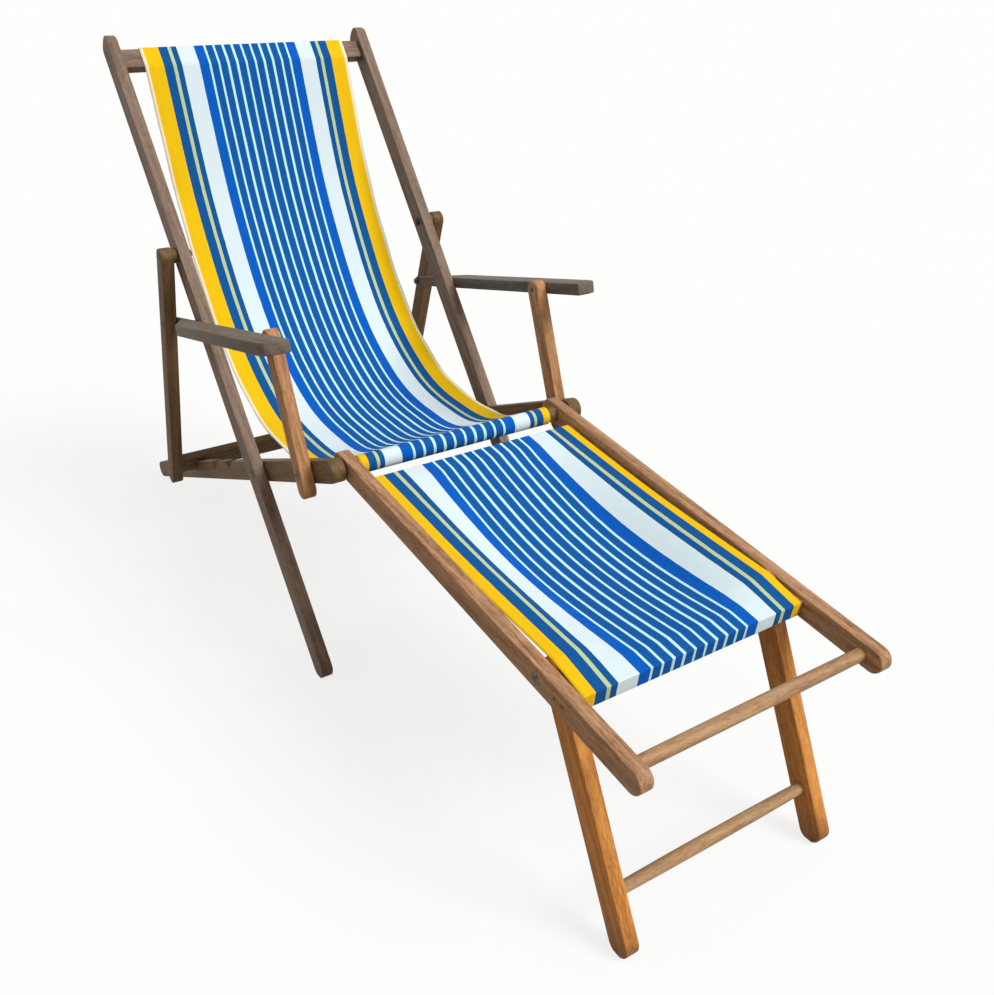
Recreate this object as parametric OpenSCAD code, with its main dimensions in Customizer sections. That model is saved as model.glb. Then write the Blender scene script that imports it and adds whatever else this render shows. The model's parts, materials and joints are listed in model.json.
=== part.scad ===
// Folding deck chair with arms and a leg rest, wooden frame and two canvas slings.
// X runs across the chair, Y from the leg rest to the back, Z up from the floor.
// The origin is on the floor, under the middle of the chair.

/* [Seat rails] */
// Clear width between the two seat rails
seat_gap = 448; // [430:1:480]
// Thickness of a seat rail, across the chair
seat_rail_t = 24; // [20:0.5:28]
// Depth of a seat rail
seat_rail_d = 39; // [36:0.5:44]
// Length of a seat rail between the centres of its round ends
seat_rail_len = 1181.5; // [1120:0.5:1220]
// Slope of the seat rails, rising to the front
seat_rise = 21.3; // [20:0.1:23]
// Rear bar between the seat rails, measured from the rear end of the rails
seat_rear_bar_back = 171.5; // [110:0.5:200]
// Depth of each notch for the prop bar
notch_depth = 18; // [14:0.5:19]
// Slope of the front ramp of a notch, against the rail
notch_ramp = 33; // [28:1:34]
// Notch in use, measured from the front bar
notch_1_at = 825; // [800:1:850]
// Middle notch, measured from the front bar
notch_2_at = 665; // [640:1:700]
// Front notch, measured from the front bar
notch_3_at = 560; // [520:1:590]
// Flat worn on every end that stands on the floor
foot_flat = 1; // [0.5:0.1:1.5]

/* [Front bar] */
// Diameter of the round bar under the knees
front_bar_dia = 28; // [26:0.5:30]
// Diameter of the tenon at each end, which is also the leg rest's hinge
front_tenon_dia = 18; // [14:0.5:20]
// Length of the tenon inside the seat rail
front_tenon_len = 18; // [12:0.5:20]

/* [Back] */
// Thickness of a back rail, across the chair
back_rail_t = 22; // [20:0.5:26]
// Depth of a back rail
back_rail_d = 41; // [38:0.5:44]
// Length of a back rail between the centres of its round ends
back_rail_len = 1244; // [1200:0.5:1260]
// Lean of the back rails from upright
back_lean = 36.6; // [34:0.1:39]
// Pivot between back and seat rails, measured from the front bar
back_pivot_at = 333; // [320:1:345]
// Washer gap between a seat rail and what pivots on its outer face
pivot_gap = 2; // [1.5:0.1:3]
// Middle of the top bar, below the top end of the back rails
top_bar_below = 29.5; // [26:0.5:60]
// Height of the top bar along the back rail
top_bar_h = 37; // [32:0.5:42]
// Thickness of the top bar
top_bar_t = 20; // [18:0.5:24]

/* [Prop] */
// Prop pivot, measured from the foot of the back rail
prop_pivot_at = 822.2; // [800:0.2:840]
// Thickness of a prop leg, across the chair
prop_t = 24; // [18:0.5:26]
// Depth of a prop leg
prop_d = 32; // [30:0.5:36]
// Gap between an arm's tongue and the prop leg beside it
prop_gap = 0.5; // [0.3:0.1:1]
// Height of the prop bar
prop_bar_h = 36; // [32:0.5:40]
// Thickness of the prop bar
prop_bar_t = 22; // [18:0.5:24]
// Prop leg below the prop bar, to the centre of its round end
prop_tail = 14.4; // [10:0.1:20]
// Clearance between the prop bar and its notch
notch_gap = 0.3; // [0.2:0.1:0.6]

/* [Arms] */
// Width of an arm
arm_w = 46; // [42:0.5:52]
// Thickness of an arm
arm_t = 21; // [19:0.5:24]
// Arm in front of its front pivot
arm_front = 112; // [100:1:130]
// Clipped outer front corner of an arm
arm_clip = 20; // [12:1:24]
// Thickness of the tongue at the rear of an arm
tongue_t = 7; // [6.5:0.5:11]
// Tongue in front of the rear pivot, clear of the prop leg
tongue_len = 50; // [44:1:80]
// Length over which an arm narrows to its tongue
arm_taper = 95; // [60:1:110]
// Gap between a back rail and an arm
arm_gap = 1; // [0.8:0.1:2]
// Rear arm pivot, measured down the prop leg from its own pivot
arm_pivot_at = 153.8; // [145:0.2:160]

/* [Struts] */
// Strut pivot on the seat rail, measured from the front bar
strut_at = 78; // [72:1:90]
// Length of a strut between its two pivots
strut_len = 224.8; // [215:0.2:235]
// Strut below its lower pivot, to the centre of its round end
strut_tail = 25; // [20:0.5:30]
// Lean of a strut from upright, to the rear
strut_lean = 19; // [16:0.1:22]
// Depth of a strut
strut_d = 32; // [28:0.5:36]

/* [Leg rest] */
// Thickness of a leg-rest rail, across the chair
rest_rail_t = 22; // [20:0.5:24]
// Depth of a leg-rest rail
rest_rail_d = 36; // [34:0.5:40]
// Leg-rest rail in front of its hinge, to the centre of its round end
rest_len = 740; // [720:1:760]
// Leg-rest rail behind its hinge, to the centre of its round end
rest_tail = 18; // [12:0.5:20]
// Angle of the leg rest, falling to the front
rest_angle = 8.4; // [7:0.1:10]
// Gap between a seat rail and the leg-rest rail that hangs beside it
hinge_gap = 3.5; // [2:0.5:4]
// Gap between a leg-rest rail and the leg beside it
rail_gap = 1; // [0.8:0.1:1.5]
// Rear canvas bar, measured from the hinge to its middle
rest_rear_bar_at = 69; // [60:0.5:80]
// Width of the rear canvas bar
rest_rear_bar_w = 30; // [24:0.5:34]
// Width of the front canvas bar
rest_front_bar_w = 33; // [28:0.5:40]
// Thickness of both canvas bars
rest_bar_t = 22; // [18:0.5:24]
// Rear canvas bar below the middle of the rails
rest_rear_bar_drop = 6; // [0:0.5:7]
// Front canvas bar above the middle of the rails
rest_front_bar_lift = 1; // [0:0.5:2]
// Rung at the front, measured from the front end of the rails
rest_rung_back = 17; // [5:1:40]
// Diameter of the rungs
rung_dia = 20.5; // [18:0.5:24]
// Diameter of a rung's tenon
rung_tenon_dia = 14; // [10:0.5:16]
// Length of a rung's tenon inside its rail
rung_tenon_len = 14; // [10:0.5:16]

/* [Leg-rest legs] */
// Leg pivot, measured from the hinge of the leg rest
leg_pivot_at = 547; // [535:1:565]
// Thickness of a leg, across the chair
leg_t = 23; // [20:0.5:26]
// Depth of a leg
leg_d = 40; // [34:0.5:42]
// Lean of a leg from upright, with its foot forward
leg_lean = 25.4; // [22:0.1:27]
// Leg above its pivot, to the centre of its round end
leg_head = 0; // [0:0.5:5]
// Rung between the legs, measured up from the foot
leg_rung_at = 70; // [60:1:90]
// Gap between a leg and the front canvas bar that stops it
leg_stop_gap = 2.2; // [2:0.1:3]

/* [Canvas] */
// Thickness of the canvas with its hem
canvas_t = 1.4; // [1:0.1:1.6]
// Width of the seat canvas on the back
seat_canvas_w = 426; // [410:1:430]
// Width of the seat canvas where it rolls over the front bar
seat_roll_w = 376; // [360:1:390]
// Gap between the rolled canvas and the leg rest's left rail
roll_gap = 2.5; // [1:0.5:12]
// Deepest hang of the seat canvas under a straight line
seat_sag = 287; // [260:1:295]
// Width of the leg-rest canvas
rest_canvas_w = 387; // [360:1:390]
// Gap between the leg-rest canvas and the rail on its left
rest_edge_gap = 2; // [1:0.5:12]
// Sag of the leg-rest canvas's middle, half way between its bars
rest_sag = 31; // [10:1:40]
// Sag of the leg-rest canvas's edges, half way between its bars
rest_edge_sag = 4.5; // [2:0.5:8]
// Gap between the canvas and the wood under it
canvas_gap = 0.3; // [0.2:0.05:0.5]

/* [Fasteners] */
// Diameter of the main pivot bolts
bolt_dia = 8; // [6:0.5:8]
// Diameter of the arm bolts and arm screws
arm_bolt_dia = 6; // [5:0.5:6]
// Room round the rear arm bolt in the tongue
arm_bolt_play = 3.4; // [3:0.1:3.8]
// Running clearance round a bolt or a tenon
run_gap = 0.1; // [0.05:0.01:0.15]
// Diameter of a bolt's domed head
bolt_head_dia = 18; // [16:0.5:20]
// Height of a bolt's domed head
bolt_head_h = 4; // [3:0.5:5]
// Width of a nut across its corners
nut_dia = 14; // [13:0.5:14.5]
// Height of a nut
nut_h = 6; // [5:0.5:6.5]
// Diameter of the pivot washers
washer_dia = 28; // [24:1:30]
// Diameter of a bar screw
screw_dia = 4.5; // [4:0.5:5]
// Diameter of a bar screw's flush head
screw_head_dia = 9; // [8:0.5:9]
// Length of a bar screw past the rail that it holds
screw_bite = 30; // [20:1:40]
// Distance between the two screws at a bar's end
screw_pitch = 16; // [14:1:17]
// Diameter of a tack's head
tack_dia = 7; // [6:0.5:8]
// Tacks in one row
tack_count = 9; // [7:1:11]
// Middle of the last tack in a row, from the canvas's edge
tack_margin = 20; // [10:1:30]

/* [Hidden] */
$fn = 48;
hub_fn = 64;
screw_head_h = 2.5;
tack_h = 1.2;
spline_steps = 5;
canvas_skin = canvas_gap + canvas_t / 2;

// Faces of the layers across the chair, measured from its middle plane
seat_in = seat_gap / 2;
seat_out = seat_in + seat_rail_t;
back_in = seat_out + pivot_gap;
back_out = back_in + back_rail_t;
arm_in = back_out + arm_gap;
tongue_out = arm_in + tongue_t;
arm_out = arm_in + arm_w;
prop_in = tongue_out + prop_gap;
prop_out = prop_in + prop_t;
rest_out = seat_in - hinge_gap;
rest_in = rest_out - rest_rail_t;
leg_out = rest_in - rail_gap;
leg_in = leg_out - leg_t;

// Bars and rungs that keep their place from a rail's end
seat_rear_bar_at = seat_rail_len - seat_rear_bar_back;
top_bar_at = back_rail_len - top_bar_below;
rest_rung_at = rest_len - rest_rung_back;

// Points are [y, z]; a piece's own line runs at an angle from +Y towards +Z
function turn(p, a) = [p[0] * cos(a) - p[1] * sin(a), p[0] * sin(a) + p[1] * cos(a)];
function place(o, a, p) = o + turn(p, a);
function angle_of(v) = atan2(v[1], v[0]);

seat_a = -seat_rise;
back_a = 90 - back_lean;
strut_a = 90 - strut_lean;
rest_a = rest_angle;
leg_a = 90 - leg_lean;

// The seat rail stands on its rear end, so the front bar's height follows from its slope
front_raw = [0, seat_rail_d / 2 - foot_flat + seat_rail_len * sin(seat_rise)];
rear_raw = place(front_raw, seat_a, [seat_rail_len, 0]);
rest_tip_raw = place(front_raw, rest_a, [-rest_len, 0]);
y_shift = -(rest_tip_raw[0] - rest_rail_d / 2 + rear_raw[0] + seat_rail_d / 2) / 2;
front = front_raw + [y_shift, 0];

back_pivot = place(front, seat_a, [back_pivot_at, 0]);
back_foot_len = (back_pivot[1] - back_rail_d / 2 + foot_flat) / cos(back_lean);
back_foot = place(back_pivot, back_a, [-back_foot_len, 0]);
prop_pivot = place(back_foot, back_a, [prop_pivot_at, 0]);

// The lower front corner of the prop bar lies in the notch in use
notch_floor = seat_rail_d / 2 - notch_depth;
bar_corner = place(front, seat_a, [notch_1_at, notch_floor + notch_gap]);
bar_half = prop_bar_t / 2;
prop_span = bar_corner - prop_pivot;
prop_bar_end = sqrt(prop_span * prop_span - bar_half * bar_half);
prop_a = angle_of(prop_span) + atan(bar_half / prop_bar_end);
prop_len = prop_bar_end + prop_tail;
notch_wall = prop_a + 90 - seat_a;

strut_foot = place(front, seat_a, [strut_at, 0]);
arm_front_pivot = place(strut_foot, strut_a, [strut_len, 0]);
arm_rear_pivot = place(prop_pivot, prop_a, [arm_pivot_at, 0]);
arm_span = arm_rear_pivot - arm_front_pivot;
arm_len = norm(arm_span);
arm_a = angle_of(arm_span);

leg_pivot = place(front, rest_a, [-leg_pivot_at, 0]);
leg_len = (leg_pivot[1] - leg_d / 2 + foot_flat) / cos(leg_lean);
leg_open = leg_a - rest_a;
rest_front_low = rest_bar_t / 2 - rest_front_bar_lift;
rest_front_top = rest_bar_t / 2 + rest_front_bar_lift;
rest_rear_low = rest_bar_t / 2 + rest_rear_bar_drop;
rest_rear_top = rest_bar_t / 2 - rest_rear_bar_drop;
stop_reach = (leg_d / 2 + leg_stop_gap + rest_front_low * cos(leg_open)) / sin(leg_open);
rest_front_bar_at = leg_pivot_at + stop_reach + rest_front_bar_w / 2;
// Both canvas bars, each as its place from the hinge and its height over the middle of the rails
rest_bars = [[rest_rear_bar_at, -rest_rear_bar_drop], [rest_front_bar_at, rest_front_bar_lift]];

// Shared helpers

// Puts children, drawn along their own Y with Z as depth, on a line through a point
module on_line(o, a) {
    translate([0, o[0], o[1]]) rotate([a, 0, 0]) children();
}

// Both sides of the chair
module both_sides() {
    children();
    mirror([1, 0, 0]) children();
}

// Round-ended board between two places on its own line
module board(x0, x1, d, y0, y1) {
    translate([x0, min(y0, y1), -d / 2]) cube([x1 - x0, abs(y1 - y0), d]);
    for (y = [y0, y1])
        translate([x0, y, 0]) rotate([0, 90, 0]) cylinder(d = d, h = x1 - x0, $fn = hub_fn);
}

// Round hole or pin across the chair, at a place on a piece's own line
module cross_pin(x0, x1, dia, y, z = 0) {
    translate([x0, y, z]) rotate([0, 90, 0]) cylinder(d = dia, h = x1 - x0);
}

// Everything under the floor, which cuts the flat on a foot
module under_floor() {
    size = 3000;
    translate([-size / 2, -size / 2, -size]) cube(size);
}

// Domed head of a bolt, sitting on a face that looks outwards
module dome_head(x, y) {
    rise = bolt_head_h;
    r = (pow(bolt_head_dia / 2, 2) + rise * rise) / (2 * rise);
    translate([x, y, 0]) rotate([0, 90, 0]) intersection() {
        translate([0, 0, rise - r]) sphere(r = r);
        cylinder(d = bolt_head_dia + 2, h = rise + 1);
    }
}

// Bolt with its head at the outer face and its thread end past a nut on the inner face
module bolt(x_in, x_out, dia, y) {
    thread_end = 2;
    dome_head(x_out + run_gap, y);
    cross_pin(x_in - nut_h - thread_end, x_out + run_gap, dia, y);
}

// Hexagonal nut on an inner face, threaded on its bolt
module nut(x_in, dia, y) {
    translate([x_in - nut_h, y, 0]) rotate([0, 90, 0]) difference() {
        cylinder(d = nut_dia, h = nut_h, $fn = 6);
        translate([0, 0, -1]) cylinder(d = dia + 2 * run_gap, h = nut_h + 2);
    }
}

// Places of the two screws at a bar's end, along the rail
function screw_rows(at) = [at - screw_pitch / 2, at + screw_pitch / 2];

// Flush screws through a rail into a bar's end; grow makes the holes for them
module bar_screws(x_bar, x_face, at, z = 0, grow = 0) {
    for (y = screw_rows(at)) {
        cross_pin(x_bar - screw_bite - grow, x_face, screw_dia + 2 * grow, y, z);
        cross_pin(x_face - screw_head_h - grow, x_face + 10 * grow, screw_head_dia + 2 * grow, y, z);
    }
}

// Seat frame

module notch(at) {
    over = 6;
    reach = notch_depth + over;
    translate([0, at, notch_floor]) rotate([90, 0, 90]) translate([0, 0, seat_in - 1])
        linear_extrude(seat_rail_t + 2)
            polygon([[0, 0], [reach / tan(notch_wall), reach], [-reach / tan(notch_ramp), reach]]);
}

module seat_rail() {
    difference() {
        on_line(front, seat_a) difference() {
            board(seat_in, seat_out, seat_rail_d, 0, seat_rail_len);
            cross_pin(seat_in - 1, seat_in + front_tenon_len + run_gap, front_tenon_dia + 2 * run_gap, 0);
            for (at = [back_pivot_at, strut_at])
                cross_pin(seat_in - 1, seat_out + 1, bolt_dia + 2 * run_gap, at);
            bar_screws(seat_in, seat_out, seat_rear_bar_at, 0, run_gap);
            for (at = [notch_1_at, notch_2_at, notch_3_at]) notch(at);
        }
        under_floor();
    }
}

module seat_front_bar() {
    color("#8a6a48") on_line(front, seat_a) {
        cross_pin(-rest_in + rail_gap / 2, rest_in - rail_gap / 2, front_bar_dia, 0);
        cross_pin(-seat_in - front_tenon_len, seat_in + front_tenon_len, front_tenon_dia, 0);
    }
}

// Bar between two rails, with pilot holes for its screws
module screwed_bar(x_end, at, w, t, z = 0) {
    difference() {
        translate([-x_end, at - w / 2, z - t / 2]) cube([2 * x_end, w, t]);
        both_sides() bar_screws(x_end, x_end + screw_head_h + 1, at, z, run_gap);
    }
}

module seat_rear_bar() {
    color("#7a5a3c") on_line(front, seat_a)
        screwed_bar(seat_in, seat_rear_bar_at, top_bar_h, top_bar_t);
}

module seat_bar_screws() {
    color("#b9a06a") both_sides() on_line(front, seat_a)
        bar_screws(seat_in, seat_out, seat_rear_bar_at);
}

module seat_pivot_bolts() {
    color("#a8a49c") both_sides() on_line(front, seat_a)
        for (at = [back_pivot_at, strut_at]) bolt(seat_in, back_out, bolt_dia, at);
}

module seat_pivot_nuts() {
    color("#a8a49c") both_sides() on_line(front, seat_a)
        for (at = [back_pivot_at, strut_at]) nut(seat_in, bolt_dia, at);
}

module seat_pivot_washers() {
    color("#a8a49c") both_sides() on_line(front, seat_a)
        for (at = [back_pivot_at, strut_at]) difference() {
            cross_pin(seat_out, back_in - run_gap, washer_dia, at);
            cross_pin(seat_out - 1, back_in + 1, bolt_dia + 2 * run_gap, at);
        }
}

// Back frame

module back_rail() {
    difference() {
        on_line(back_foot, back_a) difference() {
            board(back_in, back_out, back_rail_d, 0, back_rail_len);
            for (at = [back_foot_len, prop_pivot_at])
                cross_pin(back_in - 1, back_out + 1, bolt_dia + 2 * run_gap, at);
            bar_screws(back_in, back_out, top_bar_at, 0, run_gap);
        }
        under_floor();
    }
}

module back_top_bar() {
    color("#8f7258") on_line(back_foot, back_a)
        screwed_bar(back_in, top_bar_at, top_bar_h, top_bar_t);
}

module back_bar_screws() {
    color("#b9a06a") both_sides() on_line(back_foot, back_a)
        bar_screws(back_in, back_out, top_bar_at);
}

// Prop frame

module prop_leg() {
    on_line(prop_pivot, prop_a) difference() {
        board(prop_in, prop_out, prop_d, 0, prop_len);
        cross_pin(prop_in - 1, prop_out + 1, bolt_dia + 2 * run_gap, 0);
        cross_pin(prop_in - 1, prop_out + 1, arm_bolt_dia + 2 * run_gap, arm_pivot_at);
        bar_screws(prop_in, prop_out, prop_bar_end - prop_bar_h / 2, 0, run_gap);
    }
}

module prop_cross_bar() {
    color("#6e5436") on_line(prop_pivot, prop_a)
        screwed_bar(prop_in, prop_bar_end - prop_bar_h / 2, prop_bar_h, prop_bar_t);
}

module prop_bar_screws() {
    color("#b9a06a") both_sides() on_line(prop_pivot, prop_a)
        bar_screws(prop_in, prop_out, prop_bar_end - prop_bar_h / 2);
}

module prop_spacers() {
    color("#8a6a48") both_sides() on_line(prop_pivot, prop_a) difference() {
        cross_pin(back_out, prop_in - run_gap, washer_dia, 0);
        cross_pin(back_out - 1, prop_in + 1, bolt_dia + 2 * run_gap, 0);
    }
}

module prop_pivot_bolts() {
    color("#a8a49c") both_sides() on_line(prop_pivot, back_a)
        bolt(back_in, prop_out, bolt_dia, 0);
}

module prop_pivot_nuts() {
    color("#a8a49c") both_sides() on_line(prop_pivot, back_a) nut(back_in, bolt_dia, 0);
}

module arm_pivot_bolts() {
    color("#a8a49c") both_sides() on_line(prop_pivot, prop_a)
        bolt(arm_in - run_gap, prop_out, arm_bolt_dia, arm_pivot_at);
}

module arm_pivot_nuts() {
    color("#a8a49c") both_sides() on_line(prop_pivot, prop_a)
        nut(arm_in - run_gap, arm_bolt_dia, arm_pivot_at);
}

// Arms and struts

arm_body_end = arm_len - tongue_len;
// The clip eases into the outer edge over this share of itself
clip_ease = 0.3;
arm_screw_bite = 30;

module arm() {
    on_line(arm_front_pivot, arm_a) difference() {
        union() {
            translate([0, 0, -arm_t / 2]) linear_extrude(arm_t) polygon([
                [arm_in, -arm_front], [arm_out - arm_clip, -arm_front],
                [arm_out - arm_clip * clip_ease, -arm_front + arm_clip * clip_ease],
                [arm_out, -arm_front + arm_clip], [arm_out, arm_body_end - arm_taper],
                [tongue_out, arm_body_end], [tongue_out, arm_len], [arm_in, arm_len]]);
            cross_pin(arm_in, tongue_out, arm_t, arm_len);
        }
        cross_pin(arm_in - 1, tongue_out + 1, arm_bolt_dia + 2 * arm_bolt_play, arm_len);
        arm_screw_body(0, run_gap);
    }
}

// Screw through the top of a strut into its arm; grow makes the holes for it
module arm_screw_body(at, grow = 0) {
    cross_pin(back_in - 10 * grow, arm_in + arm_screw_bite + grow, arm_bolt_dia + 2 * grow, at);
    cross_pin(back_in - 10 * grow, back_in + screw_head_h + grow, screw_head_dia + 2 * grow, at);
}

module arm_screw() {
    on_line(arm_front_pivot, arm_a) arm_screw_body(0);
}

module strut() {
    on_line(strut_foot, strut_a) difference() {
        board(back_in, back_out, strut_d, -strut_tail, strut_len);
        cross_pin(back_in - 1, back_out + 1, bolt_dia + 2 * run_gap, 0);
        arm_screw_body(strut_len, run_gap);
    }
}

// Leg rest

module leg_rest_rail() {
    on_line(front, rest_a) difference() {
        board(rest_in, rest_out, rest_rail_d, rest_tail, -rest_len);
        cross_pin(rest_in - 1, rest_out + 1, front_tenon_dia + 2 * run_gap, 0);
        cross_pin(rest_in - 1, rest_out + 1, bolt_dia + 2 * run_gap, -leg_pivot_at);
        cross_pin(rest_in - 1, rest_in + rung_tenon_len + run_gap,
            rung_tenon_dia + 2 * run_gap, -rest_rung_at);
        for (bar = rest_bars) bar_screws(rest_in, rest_out, -bar[0], bar[1], run_gap);
    }
}

module rest_bar(bar, w) {
    color("#8f7050") on_line(front, rest_a) screwed_bar(rest_in, -bar[0], w, rest_bar_t, bar[1]);
}

module leg_rest_rear_bar() {
    rest_bar(rest_bars[0], rest_rear_bar_w);
}

module leg_rest_front_bar() {
    rest_bar(rest_bars[1], rest_front_bar_w);
}

module leg_rest_bar_screws() {
    color("#b9a06a") both_sides() on_line(front, rest_a)
        for (bar = rest_bars) bar_screws(rest_in, rest_out, -bar[0], bar[1]);
}

// Round rung with a tenon at each end
module rung(x_face, at) {
    cross_pin(-x_face, x_face, rung_dia, at);
    cross_pin(-x_face - rung_tenon_len, x_face + rung_tenon_len, rung_tenon_dia, at);
}

module leg_rest_rung() {
    color("#a5825a") on_line(front, rest_a) rung(rest_in, -rest_rung_at);
}

module leg_pivot_bolts() {
    color("#a8a49c") both_sides() on_line(leg_pivot, rest_a) bolt(leg_in, rest_out, bolt_dia, 0);
}

module leg_pivot_nuts() {
    color("#a8a49c") both_sides() on_line(leg_pivot, rest_a) nut(leg_in, bolt_dia, 0);
}

module leg() {
    difference() {
        on_line(leg_pivot, leg_a) difference() {
            board(leg_in, leg_out, leg_d, leg_head, -leg_len);
            cross_pin(leg_in - 1, leg_out + 1, bolt_dia + 2 * run_gap, 0);
            cross_pin(leg_in - 1, leg_in + rung_tenon_len + run_gap,
                rung_tenon_dia + 2 * run_gap, leg_rung_at - leg_len);
        }
        under_floor();
    }
}

module leg_rung() {
    color("#a5825a") on_line(leg_pivot, leg_a) rung(leg_in, leg_rung_at - leg_len);
}

// Canvas: a sheet is swept along stations [y, z, half width, sink of the middle, shift to the left];
// the sink goes along the path's normal, on its left

function spline_at(p, q, r, s, t) = 0.5 * (2 * q + (r - p) * t + (2 * p - 5 * q + 4 * r - s) * t * t
    + (3 * q - p - 3 * r + s) * t * t * t);
function clamp_at(list, i) = list[max(0, min(len(list) - 1, i))];
function spline(list) = concat([for (i = [0 : len(list) - 2], k = [0 : spline_steps - 1])
    spline_at(clamp_at(list, i - 1), list[i], list[i + 1], clamp_at(list, i + 2), k / spline_steps)],
    [list[len(list) - 1]]);

// Path round a rectangular bar's corners at the canvas's middle, from corner to corner
function corner(c, a0, a1) = [for (k = [0 : 2]) c + canvas_skin * [cos(a0 + (a1 - a0) * k / 2),
    sin(a0 + (a1 - a0) * k / 2)]];

// Unit normal of a path at one of its points
function path_normal(path, i) =
    let (v = clamp_at(path, i + 1) - clamp_at(path, i - 1), u = [v[0], v[1]] / norm([v[0], v[1]]))
    [-u[1], u[0]];

// Closed sheet with three columns on each side of the middle
module sheet(path) {
    cols = [-1, -0.86, -0.4, 0.4, 0.86, 1];
    n = len(path);
    m = len(cols);
    sink = [0, 0, 1, 1, 0, 0];
    function spot(i, j, side) =
        let (p = path[i], w = path_normal(path, i))
        [cols[j] * p[2] - p[4], p[0] + w[0] * (side * canvas_t / 2 + sink[j] * p[3]),
            p[1] + w[1] * (side * canvas_t / 2 + sink[j] * p[3])];
    upper = [for (i = [0 : n - 1], j = [0 : m - 1]) spot(i, j, 1)];
    lower = [for (i = [0 : n - 1], j = [0 : m - 1]) spot(i, j, -1)];
    function up(i, j) = i * m + j;
    function lo(i, j) = n * m + i * m + j;
    faces = concat(
        [for (i = [0 : n - 2], j = [0 : m - 2], f = [
            [up(i, j), up(i + 1, j), up(i + 1, j + 1)], [up(i, j), up(i + 1, j + 1), up(i, j + 1)],
            [lo(i, j), lo(i + 1, j + 1), lo(i + 1, j)], [lo(i, j), lo(i, j + 1), lo(i + 1, j + 1)]]) f],
        [for (i = [0 : n - 2], f = [
            [up(i, 0), lo(i, 0), lo(i + 1, 0)], [up(i, 0), lo(i + 1, 0), up(i + 1, 0)],
            [up(i, m - 1), lo(i + 1, m - 1), lo(i, m - 1)],
            [up(i, m - 1), up(i + 1, m - 1), lo(i + 1, m - 1)]]) f],
        [for (j = [0 : m - 2], f = [
            [up(0, j), lo(0, j + 1), lo(0, j)], [up(0, j), up(0, j + 1), lo(0, j + 1)],
            [up(n - 1, j), lo(n - 1, j), lo(n - 1, j + 1)],
            [up(n - 1, j), lo(n - 1, j + 1), up(n - 1, j + 1)]]) f]);
    polyhedron(concat(upper, lower), faces, convexity = 6);
}

// Seat canvas: tacked behind the top bar, over it, down its front, hanging to the front bar
top_half = top_bar_h / 2;
top_t = top_bar_t / 2;
// Canvas behind the top bar, as a share of half the bar's height below its middle
top_hem = 0.7;
top_wrap = [for (p = concat([[top_bar_at - top_half * top_hem, -top_t - canvas_skin]],
    corner([top_bar_at + top_half, -top_t], -90, 0), corner([top_bar_at + top_half, top_t], 0, 90),
    [[top_bar_at - top_half, top_t + canvas_skin]])) place(back_foot, back_a, p)];
hang_from = top_wrap[len(top_wrap) - 1];
roll_r = front_bar_dia / 2 + canvas_skin;
roll_start_angle = 62;
roll_end_angle = 300;
// Turn round the bar from the canvas's end back to its tacks
tack_back = 20;
roll = [for (k = [0 : 16]) let (a = roll_start_angle + (roll_end_angle - roll_start_angle) * k / 16)
    front + roll_r * [cos(a), sin(a)]];
hang_to = roll[0];
// Hang under the straight line from bar to bar, as a share of the deepest, at every tenth of it
sag_shares = [0, 0.278, 0.533, 0.725, 0.875, 0.972, 1, 0.955, 0.802, 0.547, 0];
chord = hang_to - hang_from;
chord_down = [-chord[1], chord[0]] / norm(chord);
hang = spline([for (k = [0 : 10]) hang_from + chord * k / 10 + chord_down * sag_shares[k] * seat_sag]);
seat_top_half = seat_canvas_w / 2;
seat_roll_half = seat_roll_w / 2;
seat_roll_shift = max(0, rest_in - roll_gap - seat_roll_half);
// The edges draw in, and the canvas slips to the left, over the last part of the hang
draw_in_from = 0.8;
function drawn_in(share) = max(0, (share - draw_in_from) / (1 - draw_in_from));
function seat_half(share) = seat_top_half - (seat_top_half - seat_roll_half) * drawn_in(share);

module seat_sling() {
    steps = len(hang) - 1;
    color("#2a62b8") sheet(concat(
        [for (p = top_wrap) [p[0], p[1], seat_top_half, 0, 0]],
        [for (i = [1 : steps - 1]) let (share = i / steps)
            [hang[i][0], hang[i][1], seat_half(share), 0, seat_roll_shift * drawn_in(share)]],
        [for (p = roll) [p[0], p[1], seat_roll_half, 0, seat_roll_shift]]));
}

// Leg-rest canvas: round the rear bar, over the heads of the legs, round the front bar
rest_half = rest_canvas_w / 2;
rest_shift = max(0, rest_in - rest_edge_gap - rest_half);
head_room = 0.2;
head_top = leg_head + leg_d / 2 + canvas_skin + head_room;
rear_edge = -rest_rear_bar_at + rest_rear_bar_w / 2;
rear_face = -rest_rear_bar_at - rest_rear_bar_w / 2;
front_face = -rest_front_bar_at - rest_front_bar_w / 2;
// Canvas under a bar, past its corner
under_bar = 24;
// The edges climb over the heads of the legs, and the middle stays level with the front bar
head_rise = head_top - rest_front_top - canvas_skin;
head_angles = [3.5, 7];
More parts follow.
